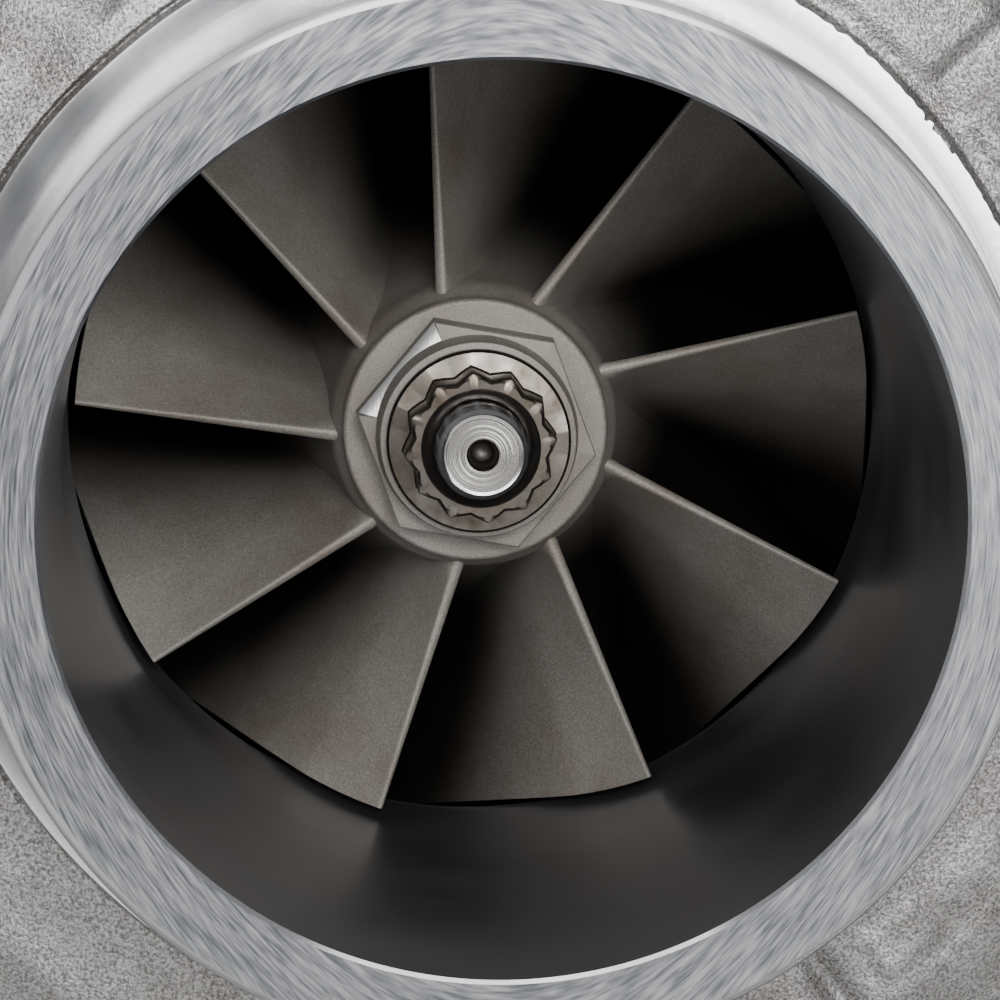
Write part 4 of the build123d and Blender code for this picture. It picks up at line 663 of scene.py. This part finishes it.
# Faced steel: bright, with turning rings 0.15 mm apart on its end.
faced, tree, shader, spot = finish("faced_bright_steel", "#B9B7B3", 1.0, 0.24)
part = add(tree, "ShaderNodeSeparateXYZ", {0: spot})
flat = add(tree, "ShaderNodeCombineXYZ", {0: part.outputs["X"], 1: part.outputs["Z"]})
radius = add(tree, "ShaderNodeVectorMath", {0: flat}, operation="LENGTH").outputs["Value"]
rings = add(tree, "ShaderNodeMath", {0: radius, 1: 1 / (0.16 * MM)}, operation="MULTIPLY")
where = add(tree, "ShaderNodeCombineXYZ", {0: rings})
feed = add(tree, "ShaderNodeTexNoise", {"Vector": where, "Scale": 1.0, "Detail": 2.0})
bump = add(tree, "ShaderNodeBump", {"Strength": 0.8, "Distance": 0.00004, "Height": feed})
tree.links.new(bump.outputs[0], shader.inputs["Normal"])
tint = add(tree, "ShaderNodeMix", {0: feed, 6: linear("#8E8A86"), 7: linear("#D8D6D3")}, data_type="RGBA")
tree.links.new(tint.outputs[2], shader.inputs["Base Color"])
wear(stud, faced)
# Painted shade: the centre hole takes the dark steel.
wear(stud, black, np.arange(len(stud.data.polygons)) % (stud_r.shape[1] - 1) < 3)
shaft = turned("shaft_body", [
    (0, 39.4), (3.5, 39.4), (3.5, 47.6), (3.6, 47.7), (3.6, 97.75), (5.8, 97.75), (6.0, 97.95), (6.0, 111.8),
    (5.5, 112.0), (5.5, 118.0), (6.0, 118.2), (6.0, 131.5), (9.2, 131.5), (9.4, 131.7), (9.4, 135.5), (8.0, 135.5),
    (8.0, 137.0), (9.4, 137.0), (9.4, 148.5), (0, 148.5)], 180)
wear(shaft, faced)
for piece in (stud, shaft):
    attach(piece, "rotor")
    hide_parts("rotor_shaft")

# ---------------------------------------------------------------------------------------------
# Everything behind the cover: core, turbine end, wastegate and actuator. Castings keep a grainy
# skin, turned and ground pieces shine, and plated pieces carry their zinc.
# ---------------------------------------------------------------------------------------------


def dress(slots, material):
    """Gives the material to each CAD piece that takes its finish from one of these slots."""
    for part in frame["record"]["subparts"]:
        if part["material_slot"] in slots:
            for slot in cad[part["node"]].material_slots:
                slot.material = material


def surface(name, dark, light, metallic, rough_low, rough_high, grain, depth, edge):
    """A skin with colour clouds, a grain of this pitch and depth and rounded edges, in mm."""
    material, tree, shader, spot = finish(name, light, metallic, rough_high)
    cloud = add(tree, "ShaderNodeTexNoise", {"Vector": spot, "Scale": 70.0, "Detail": 6.0, "Roughness": 0.6})
    shade = add(tree, "ShaderNodeMapRange", {"Value": cloud, "From Min": 0.35, "From Max": 0.68})
    tint = add(tree, "ShaderNodeMix", {0: shade, 6: linear(dark), 7: linear(light)}, data_type="RGBA")
    tree.links.new(tint.outputs[2], shader.inputs["Base Color"])
    fine = add(tree, "ShaderNodeTexNoise", {"Vector": spot, "Scale": 1 / (grain * MM), "Detail": 3.0})
    rough = add(tree, "ShaderNodeMapRange", {"Value": fine, "From Min": 0.3, "From Max": 0.7,
                                            "To Min": rough_low, "To Max": rough_high})
    tree.links.new(rough.outputs[0], shader.inputs["Roughness"])
    corner = add(tree, "ShaderNodeBevel", {"Radius": edge * MM}, samples=4)
    bump = add(tree, "ShaderNodeBump", {"Strength": 0.6, "Distance": depth * MM, "Height": fine, "Normal": corner})
    tree.links.new(bump.outputs[0], shader.inputs["Normal"])
    return material


# Turbine iron is ductile iron gone brown and grey with heat; the core is painted-free grey iron.
dress({"turbine_iron"}, surface("heat_browned_cast_iron", "#64574C", "#7D736A", 0.75, 0.48, 0.7, 0.5, 0.16, 1.2))
dress({"grey_iron"}, surface("grey_cast_iron", "#4A4745", "#6B6966", 0.8, 0.42, 0.62, 0.45, 0.12, 0.8))
dress({"machined_aluminium"}, turned_al)
dress({"bright_steel"}, surface("ground_steel", "#A5A6A8", "#C2C3C5", 1.0, 0.18, 0.3, 0.12, 0.004, 0.2))
dress({"zinc_steel"}, surface("clear_zinc_plate", "#9FA4AA", "#C3C8CE", 1.0, 0.24, 0.42, 0.2, 0.008, 0.3))
dress({"gold_zinc"}, surface("yellow_zinc_plate", "#A88B45", "#CDB56A", 1.0, 0.24, 0.4, 0.3, 0.01, 0.5))
dress({"black_steel"}, surface("black_oxide_fasteners", "#262423", "#3A3836", 0.8, 0.3, 0.5, 0.2, 0.008, 0.25))
dress({"stainless"}, surface("satin_stainless", "#8C877F", "#B5B0A8", 1.0, 0.26, 0.42, 0.15, 0.006, 0.3))
dress({"nickel_alloy"}, surface("as_cast_nickel_alloy", "#4F4A46", "#6C6660", 0.85, 0.42, 0.62, 0.3, 0.05, 0.3))
dress({"bronze"}, surface("bearing_bronze", "#8F6A38", "#B98F52", 1.0, 0.24, 0.36, 0.15, 0.005, 0.2))
dress({"brass"}, surface("turned_brass", "#B08D45", "#D3B566", 1.0, 0.2, 0.32, 0.15, 0.005, 0.2))
dress({"copper"}, surface("annealed_copper", "#9A5E3E", "#C0805C", 1.0, 0.28, 0.42, 0.2, 0.006, 0.2))
dress({"rubber"}, surface("black_rubber", "#151515", "#232323", 0.0, 0.55, 0.75, 0.3, 0.01, 0.2))

# ---------------------------------------------------------------------------------------------
# Actuator spring. A coil of bright steel wire that pushes the piston towards the hose nipple. Its
# far end stays in the can.
# ---------------------------------------------------------------------------------------------
spring = bpy.data.objects.new("actuator_coil_spring", cad["actuator_spring"].data.copy())
bpy.context.scene.collection.objects.link(spring)
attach(spring, "housing")
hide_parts("actuator_spring")
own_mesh(spring)

# ---------------------------------------------------------------------------------------------
# Studio: pale floor, a bright wall behind, a dim room in front and four soft lamps.
# ---------------------------------------------------------------------------------------------
FLOOR_W, FLOOR_FRONT, FLOOR_BACK = 5000.0, -260.0, 2500.0
side, front_to_back = np.array([-0.5, 0.5]) * FLOOR_W, np.array([FLOOR_FRONT, FLOOR_BACK])
floor = skin("floor", np.stack(np.meshgrid(side, front_to_back, [cad_low.z / MM - 0.5]), -1).reshape(2, 2, 3) * MM,
             False, False)
pale, tree, shader, spot = finish("pale_studio_paper", "#D9D9D8", 0.0, 0.8)
wear(floor, pale)

world = bpy.data.worlds.new("studio")
bpy.context.scene.world = world
world.use_nodes = True
tree = world.node_tree
sky = tree.nodes["Background"]
way = add(tree, "ShaderNodeSeparateXYZ", {0: add(tree, "ShaderNodeTexCoord").outputs["Generated"]})
back = add(tree, "ShaderNodeMapRange", {"Value": way.outputs["Y"], "From Min": -0.25, "From Max": 0.35,
                                       "To Min": 0.13, "To Max": 1.0})
eye = add(tree, "ShaderNodeLightPath").outputs["Is Camera Ray"]
strength = add(tree, "ShaderNodeMix", {0: eye, 2: back, 3: 0.75}, data_type="FLOAT")
tree.links.new(strength.outputs[0], sky.inputs["Strength"])
sky.inputs["Color"].default_value = linear("#F4F5F7")


def softbox(name, place, size, power):
    """A square soft lamp at a place in millimetres, turned to face the inlet."""
    lamp = bpy.data.lights.new(name, "AREA")
    lamp.shape = "RECTANGLE"
    lamp.size, lamp.size_y = size[0] * MM, size[1] * MM
    lamp.energy = power
    holder = bpy.data.objects.new(name, lamp)
    bpy.context.scene.collection.objects.link(holder)
    holder.location = Vector(place) * MM
    holder.rotation_euler = (Vector((0, 40, 0)) * MM - holder.location).to_track_quat("-Z", "Y").to_euler()


softbox("lamp_above", (30, -520, 200), (190, 120), 2.2)
softbox("lamp_upper_left", (-225, -520, 200), (150, 220), 1.1)
softbox("lamp_right", (185, -480, 70), (230, 230), 1.2)
softbox("lamp_top", (0, 120, 620), (700, 500), 3.0)

# Camera, level to a few degrees and looking slightly down into the inlet.
YAW, DROP = math.radians(-2.695), math.radians(8.72)
right = Vector((math.cos(YAW), math.sin(YAW), 0))
ahead = Vector((-math.sin(YAW) * math.cos(DROP), math.cos(YAW) * math.cos(DROP), -math.sin(DROP)))
above = right.cross(ahead)
lens = bpy.data.cameras.new("camera")
lens.lens = 310.3
lens.sensor_width = 36
camera = bpy.data.objects.new("camera", lens)
bpy.context.scene.collection.objects.link(camera)
camera.matrix_world = Matrix.Translation((right * -0.32 + above * 1.74 - ahead * 612) * MM) @ Matrix(
    (right, above, -ahead)).transposed().to_4x4()
bpy.context.scene.camera = camera
